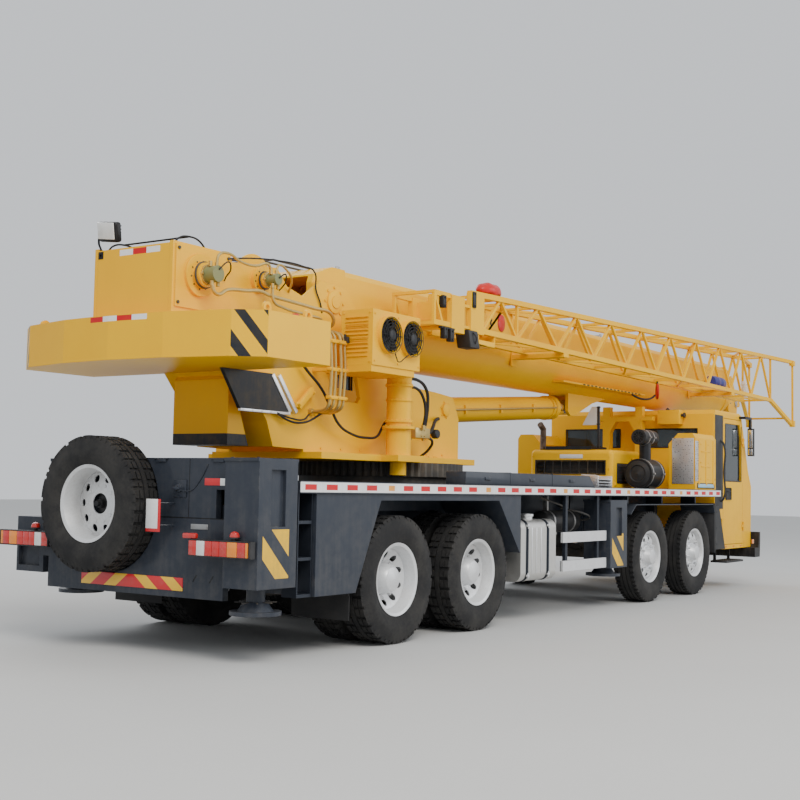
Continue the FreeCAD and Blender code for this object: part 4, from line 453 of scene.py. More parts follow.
finishes = {
    "yellow": coated("craneYellow", "yellow", 0.16),
    "ballastYellow": coated("ballastYellow", "yellow", 0.14, over=ballastPaint),
    "upperYellow": coated("upperYellow", "yellow", 0.2, over=upperPaint),
    "blue": coated("carrierBlue", "blue", 0.32, 0.2),
    "deckBlue": coated("deckBlue", "blue", 0.3, 0.2, edgeBandPaint),
    "columnBlue": coated("columnBlue", "blue", 0.3, 0.2, columnPaint),
    "tailBlue": coated("tailBlue", "blue", 0.26, 0.2, tailPaint),
    "guard": metal("railAluminium", (0.80, 0.81, 0.82), (0.5, 0.49, 0.47), 0.34, 0.6, 18.0, (1, 14, 14),
                   dirt=0.35,
                   over=guardPaint),
    "tank": metal("tankAluminium", (0.66, 0.65, 0.62), (0.42, 0.41, 0.39), 0.32, 0.85, 18.0, (1, 14, 14),
                  dirt=0.35,
                  over=tankPaint),
    "hood": coated("hoodYellow", "yellow", 0.2, over=hoodPaint),
    "cooler": coated("coolerYellow", "yellow", 0.2, over=coolerPaint),
    "drum": coated("drumYellow", "yellow", 0.2, over=drumPaint),
    "intake": paint("intakeBlack", (0.018, 0.019, 0.021), (0.012, 0.012, 0.014), (0.12, 0.11, 0.1),
                    dirt=0.3, coat=0.1,
                    over=intakePaint),
    "sky": sheeting("blankBadge", lambda s, x, y, z: (0.35, 0.62, 0.78)),
    "fitting": metal("platedFitting", (0.62, 0.46, 0.16), (0.32, 0.22, 0.08), 0.34, 0.85, 60.0, dirt=0.4),
    "white": paint("whitePlate", (0.78, 0.78, 0.77), (0.70, 0.70, 0.69), (0.4, 0.37, 0.3), dirt=0.3),
    "red": paint("redPaint", (0.62, 0.02, 0.015), (0.5, 0.015, 0.012), (0.3, 0.16, 0.12), dirt=0.25),
    "cobalt": paint("cobaltPaint", (0.03, 0.045, 0.30), (0.02, 0.03, 0.22), (0.16, 0.15, 0.2), dirt=0.25),
    "rope": metal("wireRope", (0.12, 0.115, 0.11), (0.05, 0.045, 0.04), 0.5, 0.7, 160.0, depth=0.0015,
                  dirt=0.6),
    "black": paint("blackPaint", (0.018, 0.019, 0.021), (0.012, 0.012, 0.014), (0.12, 0.11, 0.095),
                   dirt=0.4, coat=0.1),
    "grey": paint("greyPaint", (0.33, 0.34, 0.35), (0.26, 0.27, 0.28), (0.3, 0.27, 0.22), dirt=0.3),
    "silver": metal("rimSilver", (0.74, 0.75, 0.76), (0.46, 0.44, 0.41), 0.36, 0.45, 60.0, dirt=0.4),
    "aluminium": metal("brightAluminium", (0.80, 0.81, 0.82), (0.5, 0.49, 0.47), 0.30, 0.9, 18.0,
                       (1, 14, 14), dirt=0.35),
    "steel": metal("machinedSteel", (0.46, 0.45, 0.44), (0.16, 0.13, 0.1), 0.38, 0.9, 50.0, dirt=0.55),
    "chrome": metal("hardChrome", (0.82, 0.83, 0.85), (0.66, 0.66, 0.66), 0.08, 1.0, 90.0, dirt=0.1),
    "casting": metal("dustyCasting", (0.060, 0.058, 0.056), (0.15, 0.125, 0.095), 0.62, 0.25, 26.0,
                     depth=0.002, dirt=0.8),
    "tyre": rubber("tyreRubber", (0.014, 0.014, 0.015), (0.075, 0.07, 0.062), 0.4),
    "hose": rubber("hoseRubber", (0.014, 0.014, 0.015), (0.06, 0.055, 0.05), 0.3, 0.55, 90.0),
    "plastic": plastic("blackPlastic", (0.016, 0.016, 0.018), (0.06, 0.058, 0.055)),
    "glass": glass("cabGlass", (0.10, 0.13, 0.14)),
    "redLens": lens("redLens", (0.55, 0.015, 0.012)),
    "amberLens": lens("amberLens", (0.85, 0.25, 0.01)),
    "clearLens": lens("clearLens", (0.75, 0.75, 0.72)),
    "tapeRed": sheeting("redSheeting", lambda s, x, y, z: tone["tapeRed"]),
    "tapeWhite": sheeting("whiteSheeting", lambda s, x, y, z: tone["tapeWhite"]),
    "chevron": sheeting("chevronPlate", chevronPattern),
    "redBorder": sheeting("borderedPlate", borderPattern),
    "perforated": perforated("perforatedCover"),
    "cloth": fabric("seatCloth", (0.03, 0.031, 0.034), (0.08, 0.08, 0.085)),
}
print("finishes made:", len(finishes))

# Every carried-over node gets its finish
nodeFinish = {"axles": "casting", "slew_ring": "casting", "tail_lamps": "plastic", "tanks": "tank",
              "side_guards": "guard", "deck_housings": "hood", "oil_cooler": "cooler", "engine": "casting",
              "air_cleaner": "intake", "cab_trim": "black",
              "carrier_seats": "cloth", "operator_seat": "cloth", "luff_rod": "chrome",
              "luff_barrel": "yellow",
              "frame": "deckBlue", "body_panels": "tailBlue", "spare_wheel": "tyre", "jib": "yellow",
              "boom_rest": "yellow", "counterweight": "ballastYellow", "turntable": "upperYellow"}
nodeStarts = (("knuckle", "casting"), ("wheel", "tyre"), ("outrigger_beam", "columnBlue"),
              ("outrigger_jack", "blue"),
              ("winch", "drum"), ("fan", "plastic"))
for name, node in nodes.items():
    finish = nodeFinish.get(name) or next((f for start, f in nodeStarts if name.startswith(start)), None)
    if "glass" in name:
        finish = "glass"
    obj = node if isinstance(node, bpy.types.Object) else bpy.data.objects[name]
    obj.data.materials.clear()
    obj.data.materials.append(finishes[finish or "yellow"])


# Shaping helpers, all of them add to a mesh that a piece is made from
core = 0.0005  # turned solids close on a pinhole of this radius


def shape(build):
    bm = bmesh.new()
    build(bm)
    return bm


def soften(bm, edges, offset, segments):
    bmesh.ops.bevel(bm, geom=edges, offset=offset, offset_type="OFFSET", affect="EDGES", segments=segments,
                    profile=0.5, material=-1)


def block(bm, x0, x1, y0, y1, z0, z1, edge=0.0, segments=2, turn=None):
    size = (abs(x1 - x0), abs(y1 - y0), abs(z1 - z0))
    middle = ((x0 + x1) / 2, (y0 + y1) / 2, (z0 + z1) / 2)
    matrix = Matrix.Translation(middle) @ (turn or Matrix()) @ Matrix.Diagonal((*size, 1))
    made = bmesh.ops.create_cube(bm, size=1, matrix=matrix)["verts"]
    if edge:
        soften(bm, list({e for v in made for e in v.link_edges}), edge, segments)
    return made


def rod(bm, start, end, radius, sides=24, tip=None):
    start, end = Vector(start), Vector(end)
    turn = (end - start).to_track_quat("Z", "Y").to_matrix().to_4x4()
    matrix = Matrix.Translation((start + end) / 2) @ turn
    return bmesh.ops.create_cone(bm, cap_ends=True, segments=sides, radius1=radius,
                                 radius2=radius if tip is None else tip, depth=(end - start).length,
                                 matrix=matrix)


# Spin a profile of (radius, across) about the Y axis
def lathe(bm, profile, steps, closed=True):
    verts = [bm.verts.new((0, across, radius)) for radius, across in profile]
    count = len(verts) if closed else len(verts) - 1
    rims = [bm.edges.new((verts[i], verts[(i + 1) % len(verts)])) for i in range(count)]
    bmesh.ops.spin(bm, geom=verts + rims, cent=(0, 0, 0), axis=(0, 1, 0), angle=2 * pi, steps=steps,
                   use_merge=True)


def tidyMesh(bm):
    bmesh.ops.remove_doubles(bm, verts=bm.verts, dist=0.00005)
    bmesh.ops.recalc_face_normals(bm, faces=bm.faces)


slotOf = {"yellow": "crane_yellow", "blue": "carrier_paint", "steel": "machined_steel",
          "chrome": "chrome", "aluminium": "aluminium", "silver": "aluminium", "casting": "cast_iron",
          "tyre": "tyre",
          "plastic": "black_plastic", "redLens": "lamp_lens", "cloth": "seat_fabric", "glass": "glass"}


# A finished mesh, drawn from the rearmost axle, becomes a piece that rides on a body
def newPiece(name, bm, body, finish, clean=True, smooth=True):
    if clean:
        tidyMesh(bm)
    bmesh.ops.translate(bm, verts=bm.verts, vec=(shiftX, 0, 0))
    mesh = bpy.data.meshes.new(name)
    bm.to_mesh(mesh)
    bm.free()
    obj = bpy.data.objects.new(name, mesh)
    bpy.context.scene.collection.objects.link(obj)
    mesh.materials.append(finishes[finish])
    if smooth:
        mesh.shade_smooth()
        mesh.set_sharp_from_angle(angle=math.radians(34))
    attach(obj, body)
    finish in slotOf
    return obj


# A smooth pipe or hose through a few points
def hose(bm, points, radius, sides=2):
    curve = bpy.data.curves.new("route", "CURVE")
    curve.dimensions = "3D"
    curve.bevel_depth, curve.bevel_resolution = radius, sides
    curve.resolution_u, curve.use_fill_caps = 5, True
    spline = curve.splines.new("BEZIER")
    spline.bezier_points.add(len(points) - 1)
    for knot, place in zip(spline.bezier_points, points):
        knot.co = place
        knot.handle_left_type = knot.handle_right_type = "AUTO"
    holder = bpy.data.objects.new("route", curve)
    mesh = bpy.data.meshes.new_from_object(holder)
    bm.from_mesh(mesh)
    bpy.data.objects.remove(holder)
    bpy.data.meshes.remove(mesh)
    bpy.data.curves.remove(curve)


# Hexagon heads on a ring about an axis
def boltRing(bm, centre, axis, ring, count, radius, height, first=0.0):
    axis = Vector(axis).normalized()
    side = axis.orthogonal().normalized()
    for index in range(count):
        arm = Matrix.Rotation(first + 2 * pi * index / count, 4, axis) @ (side * ring)
        foot = Vector(centre) + arm
        rod(bm, foot, foot + axis * height, radius, 6)


def bolts(bm, places, axis, radius=0.011, height=0.009):
    for place in places:
        rod(bm, place, Vector(place) + Vector(axis) * height, radius, 6)


# A turned profile of (radius, along) about any axis from a centre
def turned(bm, centre, axis, profile, steps=32, closed=False):
    ring = bmesh.new()
    lathe(ring, profile, steps, closed)
    turn = Vector((0, 1, 0)).rotation_difference(Vector(axis)).to_matrix().to_4x4()
    bmesh.ops.recalc_face_normals(ring, faces=ring.faces)
    addBm(bm, ring, Matrix.Translation(centre) @ turn)


# A turned solid: its outline starts at the foot and closes on the axis at the height of its top
def domed(bm, centre, axis, outline, top, steps=32):
    turned(bm, centre, axis, [(core, 0.0)] + outline + [(core, top)], steps)


# A square-edged ring about any axis
def collar(bm, centre, axis, inner, outer, low, high, steps):
    turned(bm, centre, axis, [(inner, low), (outer, low), (outer, high), (inner, high)], steps, True)


# Sizes of tyres and rims, from the wheel's centre
tyre = {"radius": 0.542, "width": 0.30, "rim": 0.296, "steps": 110, "tread": 0.016}
rim = {"radius": 0.296, "lip": 0.310, "holes": 10, "wall": 0.010, "nuts": 10, "nutRing": 0.1675}
frontDisc = {"bore": 0.135, "holeAt": 0.222, "hole": 0.029, "nutY": 0.092}
rearDisc = {"bore": 0.135, "holeAt": 0.205, "hole": 0.031, "nutY": -0.045}
spareDisc = {"bore": 0.082, "holeAt": 0.205, "hole": 0.031, "nutRing": 0.145}


def tyreShape(lug):
    bm = bmesh.new()
    outer, half = tyre["radius"], tyre["width"] / 2
    tread = outer - tyre["tread"]
    bead = [(tyre["rim"] - 0.004, -0.105), (tyre["rim"] + 0.016, -0.118), (tyre["rim"] + 0.05, -0.134),
            (0.405, -half), (0.44, -half + 0.001), (0.485, -0.139), (0.508, -0.133), (tread, -0.122)]
    grooves = [-0.075, -0.027, 0.027, 0.075]
    band = []
    for at in grooves:
        band += [(tread, at - 0.006), (tread - 0.001, at + 0.006)]
    profile = bead + band + [(r, -w) for r, w in reversed(bead)]
    lathe(bm, profile, tyre["steps"], closed=False)
    tidyMesh(bm)
    bm.faces.ensure_lookup_table()
    raised = []
    stepAngle = 2 * pi / tyre["steps"]
    for face in bm.faces:
        middle = face.calc_center_median()
        radius, across = math.hypot(middle.x, middle.z), abs(middle.y)
        index = int((math.atan2(middle.z, middle.x) + pi) / stepAngle)
        between = any(abs(middle.y - at) < 0.005 for at in grooves)
        if radius < tread - 0.012 or between:
            continue
        if radius < tread - 0.003 and not (lug and index % 2):
            continue
        if lug and across > 0.03 and index % 3 == 0 and radius > tread - 0.003:
            continue
        if not lug and across > 0.08 and index % 2 == 0:
            continue
        raised.append(face)
    made = bmesh.ops.extrude_face_region(bm, geom=raised)
    moved = [v for v in made["geom"] if isinstance(v, bmesh.types.BMVert)]
    bmesh.ops.delete(bm, geom=raised, context="FACES_ONLY")
    for vert in moved:
        radius = math.hypot(vert.co.x, vert.co.z)
        grow = (radius + tyre["tread"] * (1.0 if radius > tread - 0.003 else 0.55)) / radius
        vert.co.x *= grow
        vert.co.z *= grow
    bmesh.ops.recalc_face_normals(bm, faces=bm.faces)
    return bm


# A ring with round holes, made one sector at a time and then dished
def holedRing(bm, inner, outer, holeAt, holeRadius, holes, dish, wall):
    sector = 2 * pi / holes
    sides, quarter = 16, 4
    made = []
    for index in range(holes):
        turnAngle = index * sector
        edgeLoop, holeLoop = [], []
        for k in range(sides):
            side, share = k // quarter, (k % quarter) / quarter
            r, a = ((inner, -sector / 2 + sector * share), (inner + (outer - inner) * share, sector / 2),
                    (outer, sector / 2 - sector * share), (outer - (outer - inner) * share,
                                                           -sector / 2))[side]
            edgeLoop.append(bm.verts.new((r * math.sin(a + turnAngle), 0, r * math.cos(a + turnAngle))))
            b = 2 * pi * (k + 0.5) / sides + pi * 0.75
            hx, hz = holeRadius * math.sin(-b + pi / 2), holeRadius * math.cos(-b + pi / 2)
            hz += holeAt
            c, d = math.cos(turnAngle), math.sin(turnAngle)
            holeLoop.append(bm.verts.new((hx * c + hz * d, 0, -hx * d + hz * c)))
        rings = [[bm.edges.new((loop[k], loop[(k + 1) % sides])) for k in range(sides)]
                 for loop in (edgeLoop, holeLoop)]
        made += bmesh.ops.bridge_loops(bm, edges=rings[0] + rings[1])["faces"]
    bmesh.ops.remove_doubles(bm, verts=bm.verts, dist=0.0004)
    for vert in bm.verts:
        vert.co.y = dish(math.hypot(vert.co.x, vert.co.z))
    bmesh.ops.recalc_face_normals(bm, faces=bm.faces)
    bmesh.ops.solidify(bm, geom=bm.faces[:], thickness=wall)


def addBm(bm, other, matrix=None):
    mesh = bpy.data.meshes.new("part")
    other.to_mesh(mesh)
    other.free()
    if matrix:
        mesh.transform(matrix)
    bm.from_mesh(mesh)
    bpy.data.meshes.remove(mesh)


# The bare rim with its dished disc
def rimWithDisc(disc, dish):
    bm = bmesh.new()
    r, lip = rim["radius"], rim["lip"]
    lathe(bm, [(r - 0.012, -0.112), (lip, -0.122), (lip, -0.112), (r, -0.104), (r - 0.02, -0.06),
               (r - 0.03, 0.0),
               (r - 0.02, 0.06), (r, 0.104), (lip, 0.112), (lip, 0.122), (r - 0.012, 0.112),
               (r - 0.032, 0.06),
               (r - 0.042, 0.0), (r - 0.032, -0.06)], 64)
    plate = bmesh.new()
    holedRing(plate, disc["bore"], r - 0.035, disc["holeAt"], disc["hole"], rim["holes"], dish, rim["wall"])
    addBm(bm, plate)
    return bm


def nutPlaces(ring):
    angles = [2 * pi * (index + 0.5) / rim["nuts"] for index in range(rim["nuts"])]
    return [(ring * math.cos(angle), ring * math.sin(angle)) for angle in angles]


# Rise from 0 to 1 between two radii
def ramp(q, low, width):
    return min(1.0, max(0.0, (q - low) / width))


def rimShape(front):
    if front:
        disc = frontDisc
        bm = rimWithDisc(disc, lambda q: 0.062 + 0.028 * math.sin(pi * ramp(q, 0.12, 0.15)))
        hub = [(core, 0.062), (0.136, 0.062), (0.136, 0.072), (0.118, 0.080), (0.098, 0.125),
               (0.088, 0.150),
               (0.060, 0.158), (core, 0.160)]
    else:
        disc = rearDisc
        bm = rimWithDisc(disc, lambda q: -0.06 + 0.07 * ramp(q, 0.15, 0.1))
        hub = [(core, -0.062), (0.137, -0.062), (0.137, -0.02), (0.125, 0.005), (0.118, 0.05),
               (0.100, 0.075),
               (0.06, 0.088), (core, 0.092)]
    lathe(bm, hub, 40, closed=False)
    foot = disc["nutY"]
    for x, z in nutPlaces(rim["nutRing"]):
        rod(bm, (x, foot - 0.012, z), (x, foot + 0.016, z), 0.017, 6)
        rod(bm, (x, foot + 0.016, z), (x, foot + 0.03, z), 0.009, 8)
    return bm


def placedCopy(bm, matrix):
    mesh = bpy.data.meshes.new("part")
    bm.to_mesh(mesh)
    mesh.transform(matrix)
    if matrix.determinant() < 0:
        mesh.flip_normals()
    made = bmesh.new()
    made.from_mesh(mesh)
    bpy.data.meshes.remove(mesh)
    return made


lugTyre, ribTyre = tyreShape(True), tyreShape(False)
frontRim, rearRim = rimShape(True), rimShape(False)
wheelRows = [("axle_1", 6.925, 1.205, True), ("axle_2", 5.455, 1.205, True),
             ("axle_3", 1.35, 1.0375, False),
             ("axle_4", 0.0, 1.0375, False)]
twinHalf = 0.17
treadTurn = 0.37  # every axle stops at a rolling angle of its own
for axle, x, half, front in wheelRows:
    for side, sign in (("left", 1), ("right", -1)):
        name = axle + "_" + side
        body = "wheel_" + name
        place = Matrix.Translation((x, sign * half, tyre["radius"])) @ Matrix.Diagonal((1, sign, 1, 1))
        place = place @ Matrix.Rotation(treadTurn * x, 4, "Y")
        rubberMesh, metalMesh = bmesh.new(), bmesh.new()
        for offset in ((0.0,) if front else (twinHalf, -twinHalf)):
            tread = ribTyre if front else lugTyre
            addBm(rubberMesh, placedCopy(tread, place @ Matrix.Translation((0, offset, 0))))
        if front:
            addBm(metalMesh, placedCopy(frontRim, place))
        else:
            outer, inner = (place @ Matrix.Translation((0, offset, 0)) for offset in (twinHalf, -twinHalf))
            addBm(metalMesh, placedCopy(rearRim, outer))
            addBm(metalMesh, placedCopy(rearRim, inner @ Matrix.Diagonal((1, -1, 1, 1))))
        tyreObj = newPiece("tyre_" + name, rubberMesh, body, "tyre", clean=False)
        newPiece("rim_" + name, metalMesh, body, "silver", clean=False)
        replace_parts(tyreObj, body)
print("wheels made")

# Spare wheel on the tail, dished side to the rear
spareSet = {"centre": (-1.9053, 0.28, 1.15), "face": -1.80, "nut": -1.90}
spareTurn = Matrix.Translation(spareSet["centre"]) @ Matrix.Rotation(pi / 2, 4,
                                                                     "Z") @ Matrix.Rotation(0.3, 4, "Y")
spareTyre = placedCopy(lugTyre, spareTurn)
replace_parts(newPiece("spareTyre", spareTyre, "chassis", "tyre", clean=False), "spare_wheel")
spareRim = rimWithDisc(spareDisc, lambda q: -0.055 + 0.03 * min(1.0, max(0.0, (0.25 - q) / 0.1)))
for x, z in nutPlaces(spareDisc["nutRing"]):
    rod(spareRim, (x, -0.03, z), (x, -0.014, z), 0.013, 12)
newPiece("spareRim", placedCopy(spareRim, spareTurn), "chassis", "silver", clean=False)
spareClamp = bmesh.new()
block(spareClamp, -1.86, -1.80, 0.23, 0.33, 1.02, 1.28, 0.012)
y, z = spareSet["centre"][1:]
rod(spareClamp, (spareSet["nut"], y, z), (spareSet["face"], y, z), 0.035, 24)
rod(spareClamp, (spareSet["nut"] - 0.03, y, z), (spareSet["nut"], y, z), 0.024, 6)
newPiece("spareClamp", spareClamp, "chassis", "black")

# Tail: lamp cells from the middle outwards, signs, latch and mud flaps
tailSheet = -1.7995
tailSet = {"lampFace": -1.975, "lampFloor": 0.793, "lampTop": 0.902, "lampInner": 0.782,
           "cells": [("redLens", 0.076), ("clearLens", 0.083), ("redLens", 0.073), ("redLens", 0.073),
                     ("redLens", 0.073), ("amberLens", 0.098), ("redLens", 0.078), ("amberLens", 0.026)]}
lampParts = {"redLens": bmesh.new(), "clearLens": bmesh.new(), "amberLens": bmesh.new()}
for sign in (1, -1):
    at = tailSet["lampInner"]
    for finish, width in tailSet["cells"]:
        block(lampParts[finish], tailSet["lampFace"] - 0.010, tailSet["lampFace"] + 0.004, sign * at,
              sign * (at + width - 0.003), tailSet["lampFloor"], tailSet["lampTop"], 0.004)
        at += width
beacons = {"x": -1.946, "sides": (-1.20, 0.97), "foot": 0.935}
for y in beacons["sides"]:
    domed(lampParts["redLens"], (beacons["x"], y, beacons["foot"]), (0, 0, 1),
          [(0.036, 0.0), (0.038, 0.012), (0.030, 0.034), (0.014, 0.044)], 0.046, 24)
block(lampParts["redLens"], -1.972, -1.935, -0.70, -0.836, 0.913, 0.955, 0.012)
for finish, bm in lampParts.items():
    newPiece("tailLamp_" + finish, bm, "chassis", finish)
lampStands = bmesh.new()
for y in beacons["sides"]:
    rod(lampStands, (beacons["x"], y, 0.908), (beacons["x"], y, 0.936), 0.016, 16)
    domed(lampStands, (beacons["x"], y, 0.928), (0, 0, 1), [(0.040, 0.0), (0.042, 0.010)], 0.012, 24)
for sign in (1, -1):
    for z0, z1 in ((0.784, 0.793), (0.902, 0.911)):
        block(lampStands, -1.984, -1.92, sign * 0.776, sign * 1.376, z0, z1, 0.003)
    for y in (0.776, 1.368):
        block(lampStands, -1.984, -1.92, sign * y, sign * (y + 0.008), 0.784, 0.911, 0.003)
    hose(lampStands, [(-1.92, sign * 0.95, 0.86), (-1.87, sign * 0.93, 0.83), (-1.83, sign * 0.90, 0.86),
                      (-1.80, sign * 0.88, 0.90)], 0.010)
newPiece("lampStands", lampStands, "chassis", "plastic")
for name, finish, y0, y1 in (("tailStripRed", "tapeRed", -0.759, -0.915),
                             ("tailStripWhite", "tapeWhite", -0.916, -1.05)):
    bm = shape(lambda b: block(b, -1.803, tailSheet, y0, y1, 1.312, 1.366, 0.001))
    bolts(bm, [(-1.803, (y0 + y1) / 2, 1.339)], (-1, 0, 0), 0.004, 0.0015)
    newPiece(name, bm, "chassis", finish)
chevron = shape(lambda b: block(b, -1.804, tailSheet, -0.562, 0.562, 0.5, 0.6, 0.0015))
bolts(chevron, [(-1.804, y, 0.55) for y in (-0.54, -0.18, 0.18, 0.54)], (-1, 0, 0), 0.006, 0.002)
newPiece("chevronPlate", chevron, "chassis", "chevron")
bordered = shape(lambda b: block(b, -1.955, -1.951, -0.30, -0.452, 0.95, 1.2, 0.0015))
bolts(bordered, [(-1.955, -0.376, z) for z in (1.0, 1.17)], (-1, 0, 0), 0.006, 0.002)
newPiece("borderedPlate", bordered, "chassis", "redBorder")
tailFittings = bmesh.new()
for z in (1.0, 1.17):
    hose(tailFittings, [(-1.951, -0.376, z), (-1.90, -0.40, z), (-1.85, -0.44, z), (-1.80, -0.45, z)],
         0.006)
block(tailFittings, -1.812, -1.80, -0.44, -0.575, 1.215, 1.35, 0.006)
domed(tailFittings, (-1.812, -0.51, 1.285), (-1, 0, 0), [(0.034, 0.0), (0.034, 0.02), (0.018, 0.028),
                                                         (0.018, 0.045)], 0.05, 20)
block(tailFittings, -1.862, -1.842, -0.47, -0.55, 1.275, 1.295, 0.006)
hose(tailFittings, [(-1.83, -0.53, 1.27), (-1.806, -0.62, 1.27), (-1.804, -0.72, 1.36),
                    (-1.804, -0.79, 1.47)], 0.004)
for y in (-0.9, -0.3, 0.3):
    block(tailFittings, -1.812, -1.79, y - 0.05, y + 0.05, 1.486, 1.512, 0.004)
    rod(tailFittings, (-1.806, y - 0.07, 1.513), (-1.806, y + 0.07, 1.513), 0.007, 10)
newPiece("tailFittings", tailFittings, "chassis", "blue")
blank = shape(lambda b: block(b, -1.8035, tailSheet, -0.628, -0.804, 0.975, 1.016, 0.002))
bolts(blank, [(-1.8035, y, 0.995) for y in (-0.638, -0.794)], (-1, 0, 0), 0.004, 0.002)
newPiece("blankPlate", blank, "chassis", "grey")
flaps = bmesh.new()
flapSet = {"x": -0.69, "inner": 0.74, "outer": 1.33, "foot": 0.245, "top": 0.475}
for sign in (1, -1):
    x, inner, outer, top = (flapSet[key] for key in ("x", "inner", "outer", "top"))
    block(flaps, x - 0.004, x + 0.004, sign * inner, sign * outer, flapSet["foot"], top)
    block(flaps, x - 0.012, x + 0.006, sign * inner, sign * outer, top - 0.03, top, 0.003)
    bolts(flaps, [(x - 0.012, sign * (inner + (outer - inner) * k / 4.0), top - 0.015) for k in range(5)],
          (-1, 0, 0), 0.008, 0.006)
newPiece("mudFlaps", flaps, "chassis", "hose")
print("tail made")

# Turntable: pipes and hoses beside it, cover trims, drive flanges
sideFace = 0.436  # outer face of the turntable's side plates
pipeRoutes = [(-0.125, 0.016), (-0.065, 0.013), (0.015, 0.016), (0.075, 0.013)]
goldPipes = bmesh.new()
for x, radius in pipeRoutes:
    hose(goldPipes, [(x, -sideFace, 2.70), (x, -0.56, 2.70), (x, -0.64, 2.66), (x, -0.66, 2.56),
                     (x, -0.66, 2.12),
                     (x, -0.64, 2.02), (x, -0.56, 1.98), (x, -sideFace, 1.98)], radius)
for x in (-0.125, 0.015):
    for z in (2.70, 1.98):
        rod(goldPipes, (x, -0.475, z), (x, -sideFace, z), 0.026, 6)
newPiece("returnPipes", goldPipes, "turntable", "fitting")
pipeClamps = bmesh.new()
for z in (2.10, 2.35, 2.60):
    block(pipeClamps, -0.155, 0.105, -0.685, -0.635, z - 0.016, z + 0.016, 0.004)
    bolts(pipeClamps, [(x, -0.685, z) for x in (-0.145, -0.03, 0.095)], (0, -1, 0), 0.007, 0.006)
block(pipeClamps, -0.10, -0.06, -0.64, -sideFace, 2.335, 2.365, 0.004)
newPiece("pipeClamps", pipeClamps, "turntable", "yellow")
tubes = bmesh.new()
tubeRoutes = [
    ([(-0.34, -0.50, 2.40), (-0.25, -0.50, 2.33), (-0.06, -0.52, 2.18), (0.05, -0.54, 2.02),
      (0.16, -0.55, 1.88),
      (0.36, -0.55, 1.80), (0.60, -0.55, 1.775), (0.78, -0.545, 1.80), (0.86, -0.54, 1.88),
      (0.95, -0.54, 1.96),
      (1.06, -0.56, 1.975), (1.10, -0.62, 1.95), (1.05, -0.66, 1.93)], 0.012),
    ([(0.98, -0.74, 2.27), (1.10, -0.76, 2.27), (1.22, -0.76, 2.20), (1.29, -0.75, 2.06),
      (1.30, -0.72, 1.90)], 0.014),
    ([(1.02, -0.66, 2.345), (1.20, -0.70, 2.36), (1.34, -0.72, 2.28), (1.39, -0.71, 2.12),
      (1.39, -0.68, 1.90)], 0.016),
    ([(1.03, -0.64, 2.15), (1.14, -0.62, 2.13), (1.22, -0.61, 2.02), (1.23, -0.62, 1.90)], 0.011),
    ([(1.46, -0.60, 1.86), (1.58, -0.60, 1.86), (1.72, -0.56, 1.92), (1.86, -0.50, 2.0),
      (1.98, -0.46, 2.03),
      (2.02, -0.437, 2.03)], 0.018),
    ([(1.46, -0.66, 1.82), (1.56, -0.66, 1.78), (1.62, -0.58, 1.70), (1.60, -0.50, 1.63)], 0.013),
    ([(-0.62, -0.47, 1.94), (-0.50, -0.50, 1.88), (-0.30, -0.50, 1.87), (-0.12, -0.49, 1.92),
      (0.0, -0.52, 2.0)], 0.010),
    ([(-0.58, -0.47, 1.93), (-0.44, -0.49, 1.90), (-0.26, -0.48, 1.90), (-0.16, -0.46, 1.95)], 0.008),
    ([(0.39, -0.985, 2.56), (0.42, -0.99, 2.49), (0.46, -0.985, 2.454), (0.56, -0.99, 2.50),
      (0.68, -0.985, 2.565)], 0.005)]
for points, radius in tubeRoutes:
    hose(tubes, points, radius)
newPiece("driveHoses", tubes, "turntable", "hose")
valve = bmesh.new()
block(valve, 1.20, 1.46, -0.70, -0.56, 1.80, 1.90, 0.006)
block(valve, 1.26, 1.40, -0.56, -sideFace, 1.81, 1.87, 0.004)
for x, y in ((1.23, -0.62), (1.30, -0.72), (1.39, -0.68)):
    rod(valve, (x, y, 1.88), (x, y, 1.925), 0.020, 6)
for y, z in ((-0.60, 1.86), (-0.66, 1.82)):
    rod(valve, (1.45, y, z), (1.485, y, z), 0.020, 6)
boltRing(valve, (1.33, -0.70, 1.85), (0, -1, 0), 0.04, 4, 0.008, 0.008)
for x in (1.22, 1.44):
    rod(valve, (x, -0.63, 1.78), (x, -0.63, 1.80), 0.014, 6)
newPiece("turntableValve", valve, "turntable", "fitting")
nozzle = bmesh.new()
domed(nozzle, (1.74, -sideFace, 1.86), (0, -1, 0), [(0.062, 0.0), (0.062, 0.02), (0.046, 0.03),
                                                    (0.046, 0.075), (0.034, 0.09), (0.034, 0.12)], 0.12, 28)
boltRing(nozzle, (1.74, -0.456, 1.86), (0, -1, 0), 0.053, 6, 0.006, 0.006)
newPiece("swivelPort", nozzle, "turntable", "yellow")
cap = bmesh.new()
domed(cap, (1.74, -0.556, 1.86), (0, -1, 0), [(0.044, 0.0), (0.046, 0.012), (0.046, 0.05), (0.038, 0.06)],
      0.062, 28)
newPiece("swivelCap", cap, "turntable", "plastic")
slewDrive = {"x": 0.92, "y": -0.69, "top": 2.389, "flanges": [(1.868, 0.155, 0.026), (1.93, 0.135, 0.02),
                                                              (2.13, 0.128, 0.018),
                                               (2.27, 0.132, 0.024)]}
flanges = bmesh.new()
for z, radius, wall in slewDrive["flanges"]:
    collar(flanges, (slewDrive["x"], slewDrive["y"], z), (0, 0, 1), 0.112, radius, 0.0, wall, 48)
    boltRing(flanges, (slewDrive["x"], slewDrive["y"], z + wall), (0, 0, 1), radius - 0.013, 16, 0.007,
             0.008)
domed(flanges, (slewDrive["x"], slewDrive["y"], slewDrive["top"]), (0, 0, 1),
      [(0.112, 0.0), (0.106, 0.012), (0.07, 0.016), (0.066, 0.05), (0.056, 0.06)], 0.062, 32)
block(flanges, 0.98, 1.04, -0.74, -0.60, 2.24, 2.30, 0.006)
newPiece("slewDriveFlanges", flanges, "turntable", "yellow")
coverTrim = bmesh.new()
